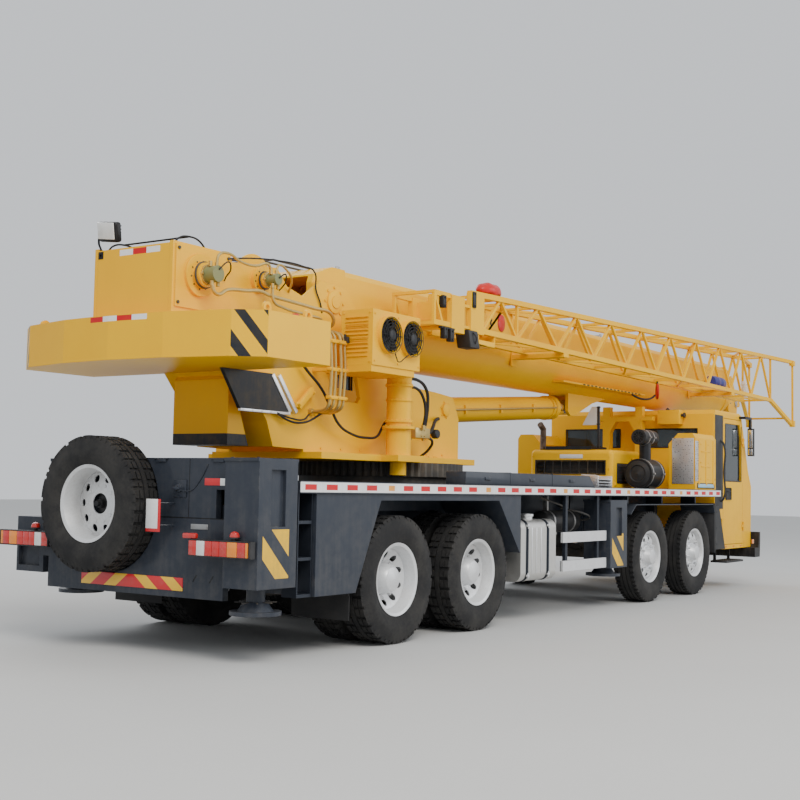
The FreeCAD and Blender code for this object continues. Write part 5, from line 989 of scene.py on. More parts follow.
coverRails = [(-0.685, 2.262, -0.435, 1.955), (-0.600, 2.262, -0.350, 1.955)]
for x0, z0, x1, z1 in coverRails:
    tilt = Matrix.Rotation(math.atan2(x1 - x0, z1 - z0), 4, "Y")
    half = math.hypot(x1 - x0, z1 - z0) / 2
    mid = ((x0 + x1) / 2, (z0 + z1) / 2)
    block(coverTrim, mid[0] - 0.02, mid[0] + 0.02, -0.478, -0.4365, mid[1] - half, mid[1] + half, 0.004, 2,
          tilt)
block(coverTrim, -1.09, -0.44, -0.4785, -0.446, 1.928, 1.952, 0.004)
bolts(coverTrim, [(-1.06 + 0.12 * k, -0.4785, 1.94) for k in range(6)], (0, -1, 0), 0.007, 0.005)
newPiece("coverTrim", coverTrim, "turntable", "aluminium")
arm = bmesh.new()
tilt = Matrix.Rotation(math.atan2(0.206, 0.172), 4, "Y")
block(arm, -0.28, -0.22, -0.505, -0.470, 1.96, 2.22, 0.004, 2, tilt)
block(arm, -0.175, -0.125, -0.49, -sideFace, 2.12, 2.17, 0.004)
block(arm, -0.375, -0.325, -0.49, -sideFace, 2.0, 2.05, 0.004)
bolts(arm, [(-0.15, -0.505, 2.145), (-0.35, -0.505, 2.03)], (0, -1, 0), 0.012, 0.010)
newPiece("pipeBracket", arm, "turntable", "yellow")

# Bolt heads of the turntable, its side plates and pins
upperBolts = bmesh.new()
boomPin, luffPin = {"x": 0.20, "z": 3.0}, {"x": 2.15, "z": 2.13}
for sign in (1, -1):
    face = sign * sideFace
    boltRing(upperBolts, (boomPin["x"], face, boomPin["z"]), (0, sign, 0), 0.135, 8, 0.013, 0.012)
    domed(upperBolts, (boomPin["x"], face, boomPin["z"]), (0, sign, 0),
          [(0.105, 0.0), (0.105, 0.016), (0.08, 0.022)], 0.022, 32)
    boltRing(upperBolts, (luffPin["x"], face, luffPin["z"]), (0, sign, 0), 0.082, 6, 0.011, 0.010)
    domed(upperBolts, (luffPin["x"], face, luffPin["z"]), (0, sign, 0),
          [(0.066, 0.0), (0.066, 0.022), (0.05, 0.030)], 0.030, 28)
    bolts(upperBolts, [(x, face, 1.66) for x in (0.05, 0.35, 0.65, 1.2, 1.5, 1.8, 2.1)], (0, sign, 0),
          0.011, 0.010)
boltRing(upperBolts, (1.573, 0, 1.6203), (0, 0, 1), 0.60, 30, 0.013, 0.014)
newPiece("upperBolts", upperBolts, "turntable", "yellow")

# Winches: flange bolts, motor ports and pipes, ropes over the top
winchRows = [(-1.60, 2.975, 0.170, 0.098, 0.066, 16), (-0.86, 3.04, 0.105, 0.066, 0.048, 12)]
winchTrim, winchPorts = bmesh.new(), bmesh.new()
for x, z, flange, gear, motor, count in winchRows:
    boltRing(winchTrim, (x, -0.448, z), (0, -1, 0), flange - 0.018, count, 0.010, 0.016)
    boltRing(winchTrim, (x, -0.448, z), (0, -1, 0), gear + 0.016, 10, 0.008, 0.026)
    collar(winchTrim, (x, -0.50, z), (0, -1, 0), gear - 0.01, gear + 0.012, 0.0, 0.014, 32)
    collar(winchPorts, (x, -0.535, z), (0, -1, 0), motor - 0.01, motor + 0.020, 0.0, 0.02, 8)
    boltRing(winchPorts, (x, -0.555, z), (0, -1, 0), motor + 0.010, 4, 0.008, 0.010, pi / 4)
    for dx in (-0.035, 0.035):
        rod(winchPorts, (x + dx, -0.60, z + motor - 0.01), (x + dx, -0.60, z + motor + 0.035), 0.016, 6)
        rod(winchPorts, (x + dx, -0.62, z - motor + 0.01), (x + dx, -0.62, z - motor - 0.03), 0.016, 6)
bolts(winchTrim, [(x, -0.448, z) for x in (-1.835, -1.262) for z in (2.735, 3.165)], (0, -1, 0), 0.014,
      0.012)
newPiece("winchBolts", winchTrim, "turntable", "casting")
newPiece("winchPorts", winchPorts, "turntable", "fitting")
winchPipes = bmesh.new()
for points, radius in (
        ([(-1.565, -0.60, 3.06), (-1.54, -0.60, 3.14), (-1.44, -0.60, 3.17), (-1.25, -0.58, 3.13),
          (-1.05, -0.57, 3.13),
          (-0.94, -0.60, 3.16), (-0.895, -0.60, 3.12)], 0.012),
        ([(-1.635, -0.62, 2.885), (-1.60, -0.63, 2.82), (-1.45, -0.62, 2.87), (-1.20, -0.60, 2.90),
          (-1.02, -0.60, 2.92),
          (-0.90, -0.60, 2.90), (-0.70, -0.60, 2.89), (-0.30, -0.60, 2.87), (-0.06, -0.60, 2.85),
          (0.02, -0.57, 2.78),
          (0.03, -0.50, 2.74), (0.03, -0.43, 2.74)], 0.016),
        ([(-0.895, -0.62, 2.96), (-0.88, -0.62, 2.86), (-0.74, -0.61, 2.82), (-0.40, -0.60, 2.80),
          (-0.16, -0.58, 2.78),
          (-0.10, -0.50, 2.75), (-0.10, -0.43, 2.75)], 0.013),
        ([(-0.825, -0.60, 3.12), (-0.80, -0.60, 3.17), (-0.68, -0.58, 3.16), (-0.52, -0.52, 3.08),
          (-0.46, -sideFace, 3.0)], 0.010)):
    hose(winchPipes, points, radius)
newPiece("winchPipes", winchPipes, "turntable", "fitting")
wires = bmesh.new()
for points, radius in (
        ([(-1.24, -0.45, 3.17), (-1.0, -0.47, 3.21), (-0.7, -0.48, 3.24), (-0.3, -0.47, 3.25),
          (-0.12, -0.46, 3.22),
          (-0.09, -0.45, 3.08), (-0.02, -0.45, 2.96), (0.02, -0.44, 2.88)], 0.007),
        ([(-1.60, -0.66, 3.01), (-1.52, -0.68, 3.08), (-1.42, -0.62, 3.04), (-1.34, -0.50, 3.0),
          (-1.30, -0.448, 2.98)], 0.006),
        ([(-0.86, -0.66, 3.05), (-0.80, -0.67, 3.09), (-0.70, -0.60, 3.05), (-0.62, -0.50, 3.02),
          (-0.58, -0.43, 3.0)], 0.006)):
    hose(wires, points, radius)
newPiece("winchWires", wires, "turntable", "hose")
ropeSet = {"radius": 0.010, "wound": 0.185, "drums": [(-1.60, 2.975, 0.05), (-0.86, 3.04, -0.08)],
           "rise": 3.352,
           "root": -0.25, "head": 10.80}
ropes, boomRopes = bmesh.new(), bmesh.new()
for x, z, y in ropeSet["drums"]:
    rod(ropes, (x + 0.02, y, z + ropeSet["wound"]), (ropeSet["root"], y, ropeSet["rise"]),
        ropeSet["radius"], 8)
    rod(boomRopes, (ropeSet["root"], y, ropeSet["rise"]), (ropeSet["head"], y, ropeSet["rise"]),
        ropeSet["radius"], 8)
newPiece("winchRopes", ropes, "turntable", "rope")
newPiece("boomRopes", boomRopes, "boom_1", "rope")
hoops = bmesh.new()
for y in (-0.37, 0.37):
    hose(hoops, [(-1.82, y, 3.20), (-1.76, y, 3.26), (-1.64, y, 3.29), (-1.52, y, 3.27), (-1.42, y, 3.18)],
         0.008)
rod(hoops, (-1.64, -0.37, 3.29), (-1.64, 0.37, 3.29), 0.008, 8)
newPiece("ropeGuard", hoops, "turntable", "black")

# Flood lamp on a bent post at the ballast's rear corner
floodBody, floodLens = bmesh.new(), bmesh.new()
lean = Matrix.Rotation(-0.25, 4, "Y") @ Matrix.Rotation(0.12, 4, "X")
block(floodBody, -1.905, -1.835, 0.19, 0.40, 3.27, 3.435, 0.022, 3, lean)
for k in range(5):
    block(floodBody, -1.84, -1.815, 0.22, 0.37, 3.295 + 0.028 * k, 3.303 + 0.028 * k, 0.002, 1, lean)
hose(floodBody, [(-1.868, 0.367, 3.16), (-1.875, 0.39, 3.22), (-1.872, 0.418, 3.27), (-1.87, 0.412, 3.33),
                 (-1.87, 0.392, 3.345)], 0.009)
block(floodBody, -1.895, -1.885, 0.34, 0.395, 3.13, 3.19, 0.003)
rod(floodBody, (-1.895, 0.367, 3.16), (-1.862, 0.367, 3.16), 0.011, 6)
newPiece("floodLampBody", floodBody, "turntable", "black")
block(floodLens, -1.921, -1.909, 0.205, 0.385, 3.285, 3.42, 0.004, 2, lean)
newPiece("floodLampLens", floodLens, "turntable", "clearLens")
ballastFittings = bmesh.new()
for x, sign in ((-1.70, 1), (-1.70, -1), (-1.20, 1), (-1.20, -1)):
    lug = bmesh.new()
    lathe(lug, [(0.022, -0.012), (0.048, -0.012), (0.048, 0.012), (0.022, 0.012)], 24)
    addBm(ballastFittings, lug, Matrix.Translation((x, sign * 1.24, 2.655)))
    block(ballastFittings, x - 0.048, x + 0.048, sign * 1.228, sign * 1.252, 2.618, 2.640, 0.003)
bolts(ballastFittings, [(x, y, 2.62) for x in (-1.95, -1.75, -1.55) for y in (-0.9, -0.65, 0.65, 0.9)],
      (0, 0, 1), 0.018, 0.014)
newPiece("ballastFittings", ballastFittings, "turntable", "yellow")
knob = bmesh.new()
domed(knob, (-1.12, -1.05, 2.62), (0, 0, 1), [(0.014, 0.0), (0.014, 0.03), (0.034, 0.04), (0.036, 0.06),
                                              (0.024, 0.072)], 0.074, 20)
newPiece("masterSwitch", knob, "turntable", "red")

# Oil cooler: wire guards before both fans, louvre lips, bolts, a sensor box
guardSet = {"x": (0.337, 0.687), "y": -0.996, "z": 2.685, "rings": (0.163, 0.135, 0.107, 0.079, 0.052),
            "wire": 0.003}
guards = bmesh.new()
for x in guardSet["x"]:
    hub, wire = (x, guardSet["y"], guardSet["z"]), guardSet["wire"]
    for radius in guardSet["rings"]:
        collar(guards, hub, (0, -1, 0), radius - wire, radius + wire, -wire, wire, 40)
    domed(guards, hub, (0, -1, 0), [(0.046, 0.0), (0.046, 0.006), (0.03, 0.010)], 0.011, 24)
    for k in range(12):
        arm = Matrix.Rotation(2 * pi * k / 12, 4, "Y") @ Vector((0, 0, 1))
        centre = Vector((x, guardSet["y"] + 0.002, guardSet["z"]))
        rod(guards, centre + arm * 0.045, centre + arm * 0.165, 0.0035, 6)
newPiece("fanGuards", guards, "turntable", "black")
coolerTrim = bmesh.new()
for k in range(10):
    z = 2.475 + 0.039 * k
    block(coolerTrim, 0.088, 0.101, -0.90, -0.65, z, z + 0.006, 0.002, 1, Matrix.Rotation(0.5, 4, "Y"))
bolts(coolerTrim, [(x, -0.95, z) for x in (0.13, 0.50, 0.84) for z in (2.44, 2.86)], (0, -1, 0), 0.009,
      0.007)
bolts(coolerTrim, [(0.10, y, z) for y in (-0.92, -0.63) for z in (2.43, 2.87)], (-1, 0, 0), 0.009, 0.007)
newPiece("coolerTrim", coolerTrim, "turntable", "yellow")
sensor = bmesh.new()
block(sensor, 0.065, 0.0995, -0.70, -0.63, 2.60, 2.655, 0.006)
rod(sensor, (0.075, -0.665, 2.655), (0.075, -0.665, 2.68), 0.010, 12)
newPiece("sensorBox", sensor, "turntable", "plastic")
print("upper works made")

# Lattice jib: bolts, black clamps, chute, panel with a red oval, red cover, ring on a strap
jibBolts = bmesh.new()
for x, heights in ((1.33, (2.86, 2.93, 3.07, 3.14)), (1.47, (2.86, 2.93, 3.07, 3.14)),
                   (1.71, (2.90, 2.98, 3.12, 3.20)),
                   (1.84, (2.90, 2.98, 3.12, 3.20))):
    for face in (-1.024, -0.574):
        bolts(jibBolts, [(x, face + 0.012, z) for z in heights], (0, -1, 0), 0.014, 0.024)
newPiece("jibBolts", jibBolts, "boom_1", "steel")
jibClamps = bmesh.new()
for x0, x1, z0, z1 in ((1.10, 1.16, 3.03, 3.15), (1.13, 1.19, 2.74, 2.85), (1.24, 1.31, 2.72, 2.84),
                       (1.66, 1.72, 3.10, 3.26)):
    block(jibClamps, x0, x1, -1.055, -1.0, z0, z1, 0.008)
    bolts(jibClamps, [((x0 + x1) / 2, -1.055, z) for z in (z0 + 0.02, z1 - 0.02)], (0, -1, 0), 0.010, 0.008)
block(jibClamps, 1.10, 1.34, -1.04, -1.0, 2.835, 2.855, 0.004)
newPiece("jibClamps", jibClamps, "boom_1", "black")
chute = bmesh.new()
body = block(chute, 1.56, 1.74, -1.06, -0.90, 2.70, 2.87, 0.0)
for vert in body:
    if vert.co.z < 2.75:
        vert.co.x += 0.05
soften(chute, chute.edges[:], 0.012, 2)
hose(chute, [(1.64, -1.065, 2.85), (1.67, -1.085, 2.80), (1.69, -1.065, 2.74)], 0.008)
newPiece("jibChute", chute, "boom_1", "plastic")
jibTray = bmesh.new()
block(jibTray, 1.80, 2.14, -1.03, -0.80, 2.745, 2.760, 0.004)
for x in (1.80, 2.125):
    block(jibTray, x, x + 0.015, -1.03, -0.80, 2.745, 2.885, 0.004)
for y in (-1.03, -0.815):
    block(jibTray, 1.80, 2.14, y, y + 0.015, 2.745, 2.80, 0.004)
newPiece("jibTray", jibTray, "boom_1", "yellow")
shackles = bmesh.new()
for x, y in ((1.90, -0.93), (1.99, -0.90), (2.06, -0.95)):
    collar(shackles, (x, y, 2.775), (0.3, 0.2, 1), 0.022, 0.036, -0.008, 0.008, 18)
    rod(shackles, (x - 0.03, y, 2.79), (x + 0.03, y, 2.79), 0.009, 8)
newPiece("jibShackles", shackles, "boom_1", "red")
jibPanel = bmesh.new()
block(jibPanel, 2.62, 3.32, -0.575, -0.565, 2.94, 3.25, 0.002)
for x in (2.63, 3.29):
    block(jibPanel, x, x + 0.03, -0.585, -0.56, 2.90, 3.27, 0.004)
bolts(jibPanel, [(x, -0.575, z) for x in (2.70, 3.24) for z in (2.97, 3.22)], (0, -1, 0), 0.010, 0.008)
newPiece("jibPanel", jibPanel, "boom_1", "yellow")
oval = bmesh.new()
domed(oval, (0, 0, 0), (0, -1, 0), [(0.075, 0.0), (0.080, 0.006), (0.070, 0.012)], 0.012, 32)
bmesh.ops.scale(oval, verts=oval.verts, vec=(1.0, 1.0, 1.2))
bmesh.ops.translate(oval, verts=oval.verts, vec=(3.06, -0.574, 3.135))
newPiece("jibOval", oval, "boom_1", "red")
keyhole = bmesh.new()
domed(keyhole, (2.83, -0.574, 3.15), (0, -1, 0), [(0.026, 0.0), (0.026, 0.006)], 0.006, 20)
block(keyhole, 2.815, 2.845, -0.580, -0.574, 3.09, 3.15, 0.004)
newPiece("jibKeyhole", keyhole, "boom_1", "plastic")
cover = bmesh.new()
bmesh.ops.create_uvsphere(cover, u_segments=28, v_segments=14, radius=1.0,
                          matrix=Matrix.Translation((2.18, -0.92, 3.34)) @ Matrix.Diagonal((0.20, 0.10,
                                                                                            0.085, 1)))
bmesh.ops.bisect_plane(cover, geom=cover.verts[:] + cover.edges[:] + cover.faces[:], plane_co=(0, 0, 3.31),
                       plane_no=(0, 0, -1), clear_outer=True)
bmesh.ops.holes_fill(cover, edges=[edge for edge in cover.edges if edge.is_boundary], sides=0)
for vert in cover.verts:
    vert.co.z += 0.008 * math.sin(38 * vert.co.x) * math.cos(29 * vert.co.y)
domed(cover, (2.18, -0.92, 3.30), (0, 0, 1), [(0.09, 0.0), (0.095, 0.014)], 0.016, 28)
newPiece("jibCover", cover, "boom_1", "red")
ring = bmesh.new()
lathe(ring, [(0.095 + 0.017 * math.cos(2 * pi * k / 10), 0.017 * math.sin(2 * pi * k / 10))
             for k in range(10)], 36)
ringMesh = bmesh.new()
addBm(ringMesh, ring, Matrix.Translation((7.40, -0.60, 2.70)) @ Matrix.Rotation(0.5, 4, "Z"))
newPiece("redRing", ringMesh, "boom_1", "red")
strap = bmesh.new()
hose(strap, [(7.42, -0.59, 2.86), (7.40, -0.60, 2.815), (7.39, -0.60, 2.80)], 0.012)
hose(strap, [(7.32, -0.60, 2.64), (7.22, -0.60, 2.60), (7.08, -0.58, 2.57), (6.95, -0.52, 2.58),
             (6.90, -0.44, 2.63)], 0.014)
newPiece("ringStrap", strap, "boom_1", "hose")
bundle = bmesh.new()
domed(bundle, (8.96, -0.78, 2.955), (1, 0, 0), [(0.085, 0.0), (0.092, 0.02), (0.090, 0.14), (0.095, 0.16),
                                                (0.090, 0.18), (0.090, 0.30), (0.095, 0.32), (0.090, 0.34),
                                                (0.092, 0.44), (0.085, 0.46)], 0.46, 28)
newPiece("jibBundle", bundle, "boom_1", "cobalt")
canister = bmesh.new()
domed(canister, (10.55, -0.78, 2.85), (0, 0, 1), [(0.062, 0.0), (0.066, 0.01), (0.066, 0.17),
                                                  (0.072, 0.175), (0.072, 0.20), (0.055, 0.235)], 0.245, 28)
newPiece("jibCanister", canister, "boom_1", "white")

# Boom: slots along the ledges as thin black pieces of painted shade, collar bolts, pad covers, rope rollers
# and head bolts
ledgeSlotShade = bmesh.new()
ledge = {"count": 16, "start": 5.45, "pitch": 0.115, "length": 0.062}
for k in range(ledge["count"]):
    x = ledge["start"] + ledge["pitch"] * k
    for sign in (1, -1):
        # black pieces standing for the shade inside the slots
        block(ledgeSlotShade, x, x + ledge["length"], sign * 0.4185, sign * 0.4215, 2.644, 2.660, 0.001)
newPiece("ledgeSlots", ledgeSlotShade, "boom_1", "black")
collarSet = [("boom_1", 10.86, 0.360 + 0.013, 3.34 + 0.013),
             ("boom_2", 10.96, 0.334 + 0.012, 3.314 + 0.012),
             ("boom_3", 11.05, 0.308 + 0.012, 3.288 + 0.012),
             ("boom_4", 11.14, 0.282 + 0.012, 3.262 + 0.012)]
for body, x, half, top in collarSet:
    pads = bmesh.new()
    for sign in (1, -1):
        block(pads, x - 0.03, x + 0.025, sign * (half - 0.002), sign * (half + 0.007), top - 0.26,
              top - 0.08, 0.002)
        bolts(pads, [(x, sign * (half + 0.006), top - dz) for dz in (0.11, 0.17, 0.23)], (0, sign, 0),
              0.009, 0.006)
        block(pads, x - 0.03, x + 0.025, sign * 0.12, sign * 0.22, top - 0.002, top + 0.006, 0.002)
        bolts(pads, [(x, sign * y, top + 0.005) for y in (0.145, 0.195)], (0, 0, 1), 0.009, 0.006)
    newPiece(body + "_padCovers", pads, body, "yellow")
rollers = bmesh.new()
for x in (0.55, 3.2, 6.4, 9.6):
    rod(rollers, (x, -0.20, 3.375), (x, 0.20, 3.375), 0.018, 16)
    for y in (-0.21, 0.20):
        block(rollers, x - 0.03, x + 0.03, y, y + 0.012, 3.336, 3.405, 0.004)
newPiece("boomRollers", rollers, "boom_1", "steel")
headBolts = bmesh.new()
headPin = {"x": 11.585, "z": 2.804}
for sign in (1, -1):
    face = sign * 0.256
    boltRing(headBolts, (headPin["x"], face, headPin["z"]), (0, sign, 0), 0.062, 6, 0.010, 0.010)
    domed(headBolts, (headPin["x"], face, headPin["z"]), (0, sign, 0),
          [(0.048, 0.0), (0.048, 0.012), (0.034, 0.018)], 0.018, 28)
    bolts(headBolts, [(11.34, face, z) for z in (2.80, 2.95, 3.10)], (0, sign, 0), 0.012, 0.010)
newPiece("headBolts", headBolts, "boom_5", "steel")

# Luffing cylinder: gland bolts, weld rings, a pipe with clamps along the barrel
luffSet = {"rise": 0.255, "run": 3.55, "pipeY": -0.164}
luffTilt = Matrix.Rotation(-math.atan2(luffSet["rise"], luffSet["run"]), 4, "Y")
luffPlace = Matrix.Translation((luffPin["x"], 0, luffPin["z"])) @ luffTilt
luffTrim = bmesh.new()
gland = bmesh.new()
collar(gland, (0.24, 0, 0), (1, 0, 0), 0.14, 0.158, 0.0, 0.03, 40)
collar(gland, (3.05, 0, 0), (1, 0, 0), 0.14, 0.154, 0.0, 0.02, 40)
boltRing(gland, (3.229, 0, 0), (1, 0, 0), 0.125, 14, 0.009, 0.010)
for x in (0.9, 1.7, 2.5):
    block(gland, x - 0.02, x + 0.02, -0.16, -0.13, -0.05, 0.05, 0.004)
addBm(luffTrim, gland, luffPlace)
newPiece("luffTrim", luffTrim, "luff_barrel", "yellow")
luffPipe = bmesh.new()
pipe = bmesh.new()
hose(pipe, [(0.32, -0.140, 0.0), (0.36, -0.162, 0.0), (0.6, luffSet["pipeY"], 0.0),
            (1.6, luffSet["pipeY"], 0.0), (2.7, luffSet["pipeY"], 0.0),
            (3.02, luffSet["pipeY"], 0.0), (3.10, -0.155, 0.0), (3.13, -0.140, 0.0)], 0.011)
addBm(luffPipe, pipe, luffPlace)
newPiece("luffPipe", luffPipe, "luff_barrel", "fitting")
print("boom and jib made")

# Deck and hood: long box, slatted step, grilles, perforated covers, blank badge, roof box
deckBox = {"rear": 1.10, "front": 3.89, "inner": 1.11, "outer": 1.33, "top": 1.482, "slope": 0.14}
boxMesh = bmesh.new()
made = block(boxMesh, deckBox["rear"], deckBox["front"], -deckBox["inner"], -deckBox["outer"], 1.3595,
             deckBox["top"])
for vert in made:
    if vert.co.x > 3.5 and vert.co.z > 1.45:
        vert.co.x -= deckBox["slope"]
soften(boxMesh, boxMesh.edges[:], 0.008, 2)
for x in (1.95, 2.85):
    block(boxMesh, x - 0.004, x + 0.004, -1.10, -1.334, 1.362, 1.486, 0.001)
for x in (1.5, 2.4, 3.3):
    block(boxMesh, x - 0.05, x + 0.05, -1.328, -1.340, 1.405, 1.435, 0.003)
newPiece("deckBox", boxMesh, "chassis", "blue")
slats = bmesh.new()
for k in range(4):
    z = 1.375 + 0.032 * k
    block(slats, 3.95, 4.32, -1.33, -1.12, z, z + 0.008, 0.002, 1, Matrix.Rotation(0.25, 4, "X"))
for x in (3.95, 4.31):
    block(slats, x, x + 0.010, -1.335, -1.115, 1.3595, 1.49, 0.002)
newPiece("slattedStep", slats, "chassis", "aluminium")
hoodTrim = bmesh.new()
for y in (-0.505, 0.497):
    block(hoodTrim, 5.940, 5.955, y, y + 0.012, 1.53, 1.712, 0.002)
for z in (1.527, 1.703):
    block(hoodTrim, 5.940, 5.955, -0.505, 0.509, z, z + 0.012, 0.002)
for k in range(9):
    z = 1.548 + 0.0175 * k
    block(hoodTrim, 5.955, 5.966, -0.497, 0.497, z, z + 0.005, 0.001, 1, Matrix.Rotation(0.6, 4, "Y"))
for sign in (1, -1):
    block(hoodTrim, 6.10, 6.42, sign * 0.586, sign * 0.597, 1.42, 1.68, 0.012)
    for k in range(6):
        block(hoodTrim, 6.13, 6.39, sign * 0.594, sign * 0.603, 1.45 + 0.036 * k, 1.462 + 0.036 * k, 0.003)
newPiece("hoodGrilles", hoodTrim, "chassis", "plastic")
newPiece("hoodStrip", shape(lambda b: block(b, 5.9465, 5.951, -0.18, 0.15, 1.735, 1.788, 0.0015)),
         "chassis", "white")
hoodBolts = bmesh.new()
for sign in (1, -1):
    for x in (6.05, 6.80):
        block(hoodBolts, x - 0.025, x + 0.025, sign * 0.589, sign * 0.603, 1.385, 1.43, 0.004)
    rod(hoodBolts, (6.55, sign * 0.60, 1.74), (6.75, sign * 0.60, 1.74), 0.010, 12)
    for x in (6.56, 6.74):
        rod(hoodBolts, (x, sign * 0.588, 1.74), (x, sign * 0.602, 1.74), 0.008, 10)
bolts(hoodBolts, [(5.95, y, z) for y in (-0.55, 0.55) for z in (1.42, 1.60, 1.76)], (-1, 0, 0), 0.010,
      0.008)
newPiece("hoodBolts", hoodBolts, "chassis", "yellow")
covers, badges, skies = bmesh.new(), bmesh.new(), bmesh.new()
block(covers, 6.9425, 6.952, -1.00, -1.300, 1.43, 2.035, 0.004)
block(covers, 6.9425, 7.10, -1.318, -1.3235, 1.47, 2.0, 0.002)
bolts(covers, [(6.9425, y, z) for y in (-1.02, -1.28) for z in (1.46, 1.74, 2.01)], (-1, 0, 0), 0.009,
      0.006)
for sign in (1, -1):
    block(badges, 7.02, 7.66, sign * 1.318, sign * 1.324, 1.375, 1.447, 0.002)
    block(skies, 7.05, 7.63, sign * 1.323, sign * 1.3255, 1.387, 1.435, 0.001)
newPiece("perforatedCovers", covers, "chassis", "perforated")
newPiece("badgeFrames", badges, "chassis", "black")
newPiece("blankBadges", skies, "chassis", "sky")
boxBolts = bmesh.new()
for sign in (1, -1):
    bolts(boxBolts, [(x, sign * 1.32, z) for x in (7.15, 7.42, 7.68) for z in (1.50, 1.72, 1.96)],
          (0, sign, 0), 0.009, 0.006)
    block(boxBolts, 7.16, 7.50, sign * 1.318, sign * 1.327, 1.86, 1.875, 0.002)
    block(boxBolts, 7.16, 7.50, sign * 1.318, sign * 1.327, 1.66, 1.675, 0.002)
newPiece("silencerBolts", boxBolts, "chassis", "yellow")
intakeBands = bmesh.new()
for x, z, radius in ((6.24, 1.55, 0.193), (6.56, 1.55, 0.193), (6.33, 2.02, 0.103), (6.47, 2.02, 0.103)):
    collar(intakeBands, (x, -0.85, z), (1, 0, 0), radius - 0.006, radius, -0.012, 0.012, 40)
    block(intakeBands, x - 0.012, x + 0.012, -0.85 - radius - 0.02, -0.85 - radius + 0.004, z - 0.012,
          z + 0.012, 0.003)
newPiece("intakeBands", intakeBands, "chassis", "steel")
intakeCaps = bmesh.new()
domed(intakeCaps, (6.185, -0.85, 1.55), (-1, 0, 0), [(0.16, 0.0), (0.165, 0.012), (0.11, 0.026),
                                                     (0.10, 0.012), (0.05, 0.016)], 0.03, 36)
domed(intakeCaps, (6.19, -0.85, 2.02), (-1, 0, 0), [(0.092, 0.0), (0.094, 0.010), (0.072, 0.012),
                                                    (0.070, 0.002), (0.03, 0.002)], 0.012, 36)
for k in range(10):
    arm = Matrix.Rotation(2 * pi * k / 10, 4, "X") @ Vector((0, 0, 1))
    centre = Vector((6.18, -0.85, 2.02))
    rod(intakeCaps, centre + arm * 0.02, centre + arm * 0.085, 0.004, 6)
newPiece("intakeCaps", intakeCaps, "chassis", "plastic")
snorkel = bmesh.new()
block(snorkel, 6.085, 6.115, -0.345, -0.315, 1.87, 2.42, 0.005)
for z in (1.90, 2.18, 2.40):
    block(snorkel, 6.08, 6.12, -0.35, -0.31, z, z + 0.015, 0.003)
rod(snorkel, (6.10, -0.315, 2.30), (6.10, -0.29, 2.30), 0.008, 8)
newPiece("aerialPost", snorkel, "chassis", "plastic")
board = bmesh.new()
for vert in block(board, 6.088, 6.104, -0.311, -0.105, 2.175, 2.414):
    if vert.co.y > -0.2 and vert.co.z > 2.3:
        vert.co.y -= 0.13
soften(board, board.edges[:], 0.003, 1)
newPiece("blankBoard", board, "chassis", "white")
roofBox = bmesh.new()
block(roofBox, 7.71, 7.851, -0.47, -0.80, 2.26, 2.462, 0.010)
for y in (-0.50, -0.77):
    block(roofBox, 7.72, 7.84, y - 0.004, y + 0.004, 2.458, 2.468, 0.001)
bolts(roofBox, [(7.71, y, z) for y in (-0.50, -0.77) for z in (2.29, 2.43)], (-1, 0, 0), 0.008, 0.006)
newPiece("roofBox", roofBox, "chassis", "yellow")
roofBits = bmesh.new()
domed(roofBits, (7.78, -0.60, 2.46), (0, 0, 1), [(0.034, 0.0), (0.030, 0.012), (0.010, 0.036)], 0.038, 20)
domed(roofBits, (7.78, -0.80, 2.39), (0, -1, 0), [(0.020, 0.0), (0.020, 0.03), (0.036, 0.035),
                                                  (0.036, 0.055), (0.028, 0.058)], 0.05, 24)
newPiece("roofBoxFittings", roofBits, "chassis", "plastic")
print("deck pieces made")

# Carrier cab: dark rear corners, handles, mirrors, wipers, front lamps, grille, steps and guards
cabBlack = bmesh.new()
for sign in (1, -1):
    block(cabBlack, 7.872, 8.186, sign * 1.2495, sign * 1.254, 1.10, 2.40, 0.004)
    hose(cabBlack, [(8.10, sign * 1.252, 1.20), (8.10, sign * 1.295, 1.24), (8.10, sign * 1.30, 1.60),
                    (8.10, sign * 1.295, 2.0),
                    (8.10, sign * 1.252, 2.05)], 0.014)
    block(cabBlack, 7.565, 7.60, sign * 0.92, sign * 1.36, 0.52, 1.18, 0.008)
    block(cabBlack, 7.60, 8.15, sign * 1.20, sign * 1.245, 0.66, 0.962, 0.008)
    for x in (8.27, 8.83):
        block(cabBlack, x, x + 0.02, sign * 1.08, sign * 1.12, 0.37, 0.545, 0.004)
    block(cabBlack, 8.22, 8.90, sign * 1.06, sign * 1.30, 0.350, 0.378, 0.006)
    for k in range(7):
        block(cabBlack, 8.25 + 0.09 * k, 8.30 + 0.09 * k, sign * 1.08, sign * 1.28, 0.377, 0.384, 0.002)
    hose(cabBlack, [(8.90, sign * 1.27, 2.402), (9.00, sign * 1.30, 2.404), (9.09, sign * 1.33, 2.395),
                    (9.11, sign * 1.335, 2.27)], 0.010)
newPiece("cabTrimBlack", cabBlack, "chassis", "plastic")
for side, sign in (("left", 1), ("right", -1)):
    handleTrim = bmesh.new()
    block(handleTrim, 8.29, 8.50, sign * 1.249, sign * 1.2535, 1.225, 1.395, 0.020)
    hose(handleTrim, [(8.32, sign * 1.252, 1.345), (8.34, sign * 1.268, 1.345), (8.40, sign * 1.272, 1.345),
                      (8.46, sign * 1.268, 1.345), (8.48, sign * 1.252, 1.345)], 0.009)
    y = sign * 1.2525
    for x in (8.275, 8.945):
        rod(handleTrim, (x, y, 1.49), (x, y, 2.28), 0.006, 8)
    rod(handleTrim, (8.275, y, 1.49), (8.945, y, 1.49), 0.006, 8)
    newPiece("carrierDoorTrim_" + side, handleTrim, "carrier_door_" + side, "plastic")
corner = bmesh.new()
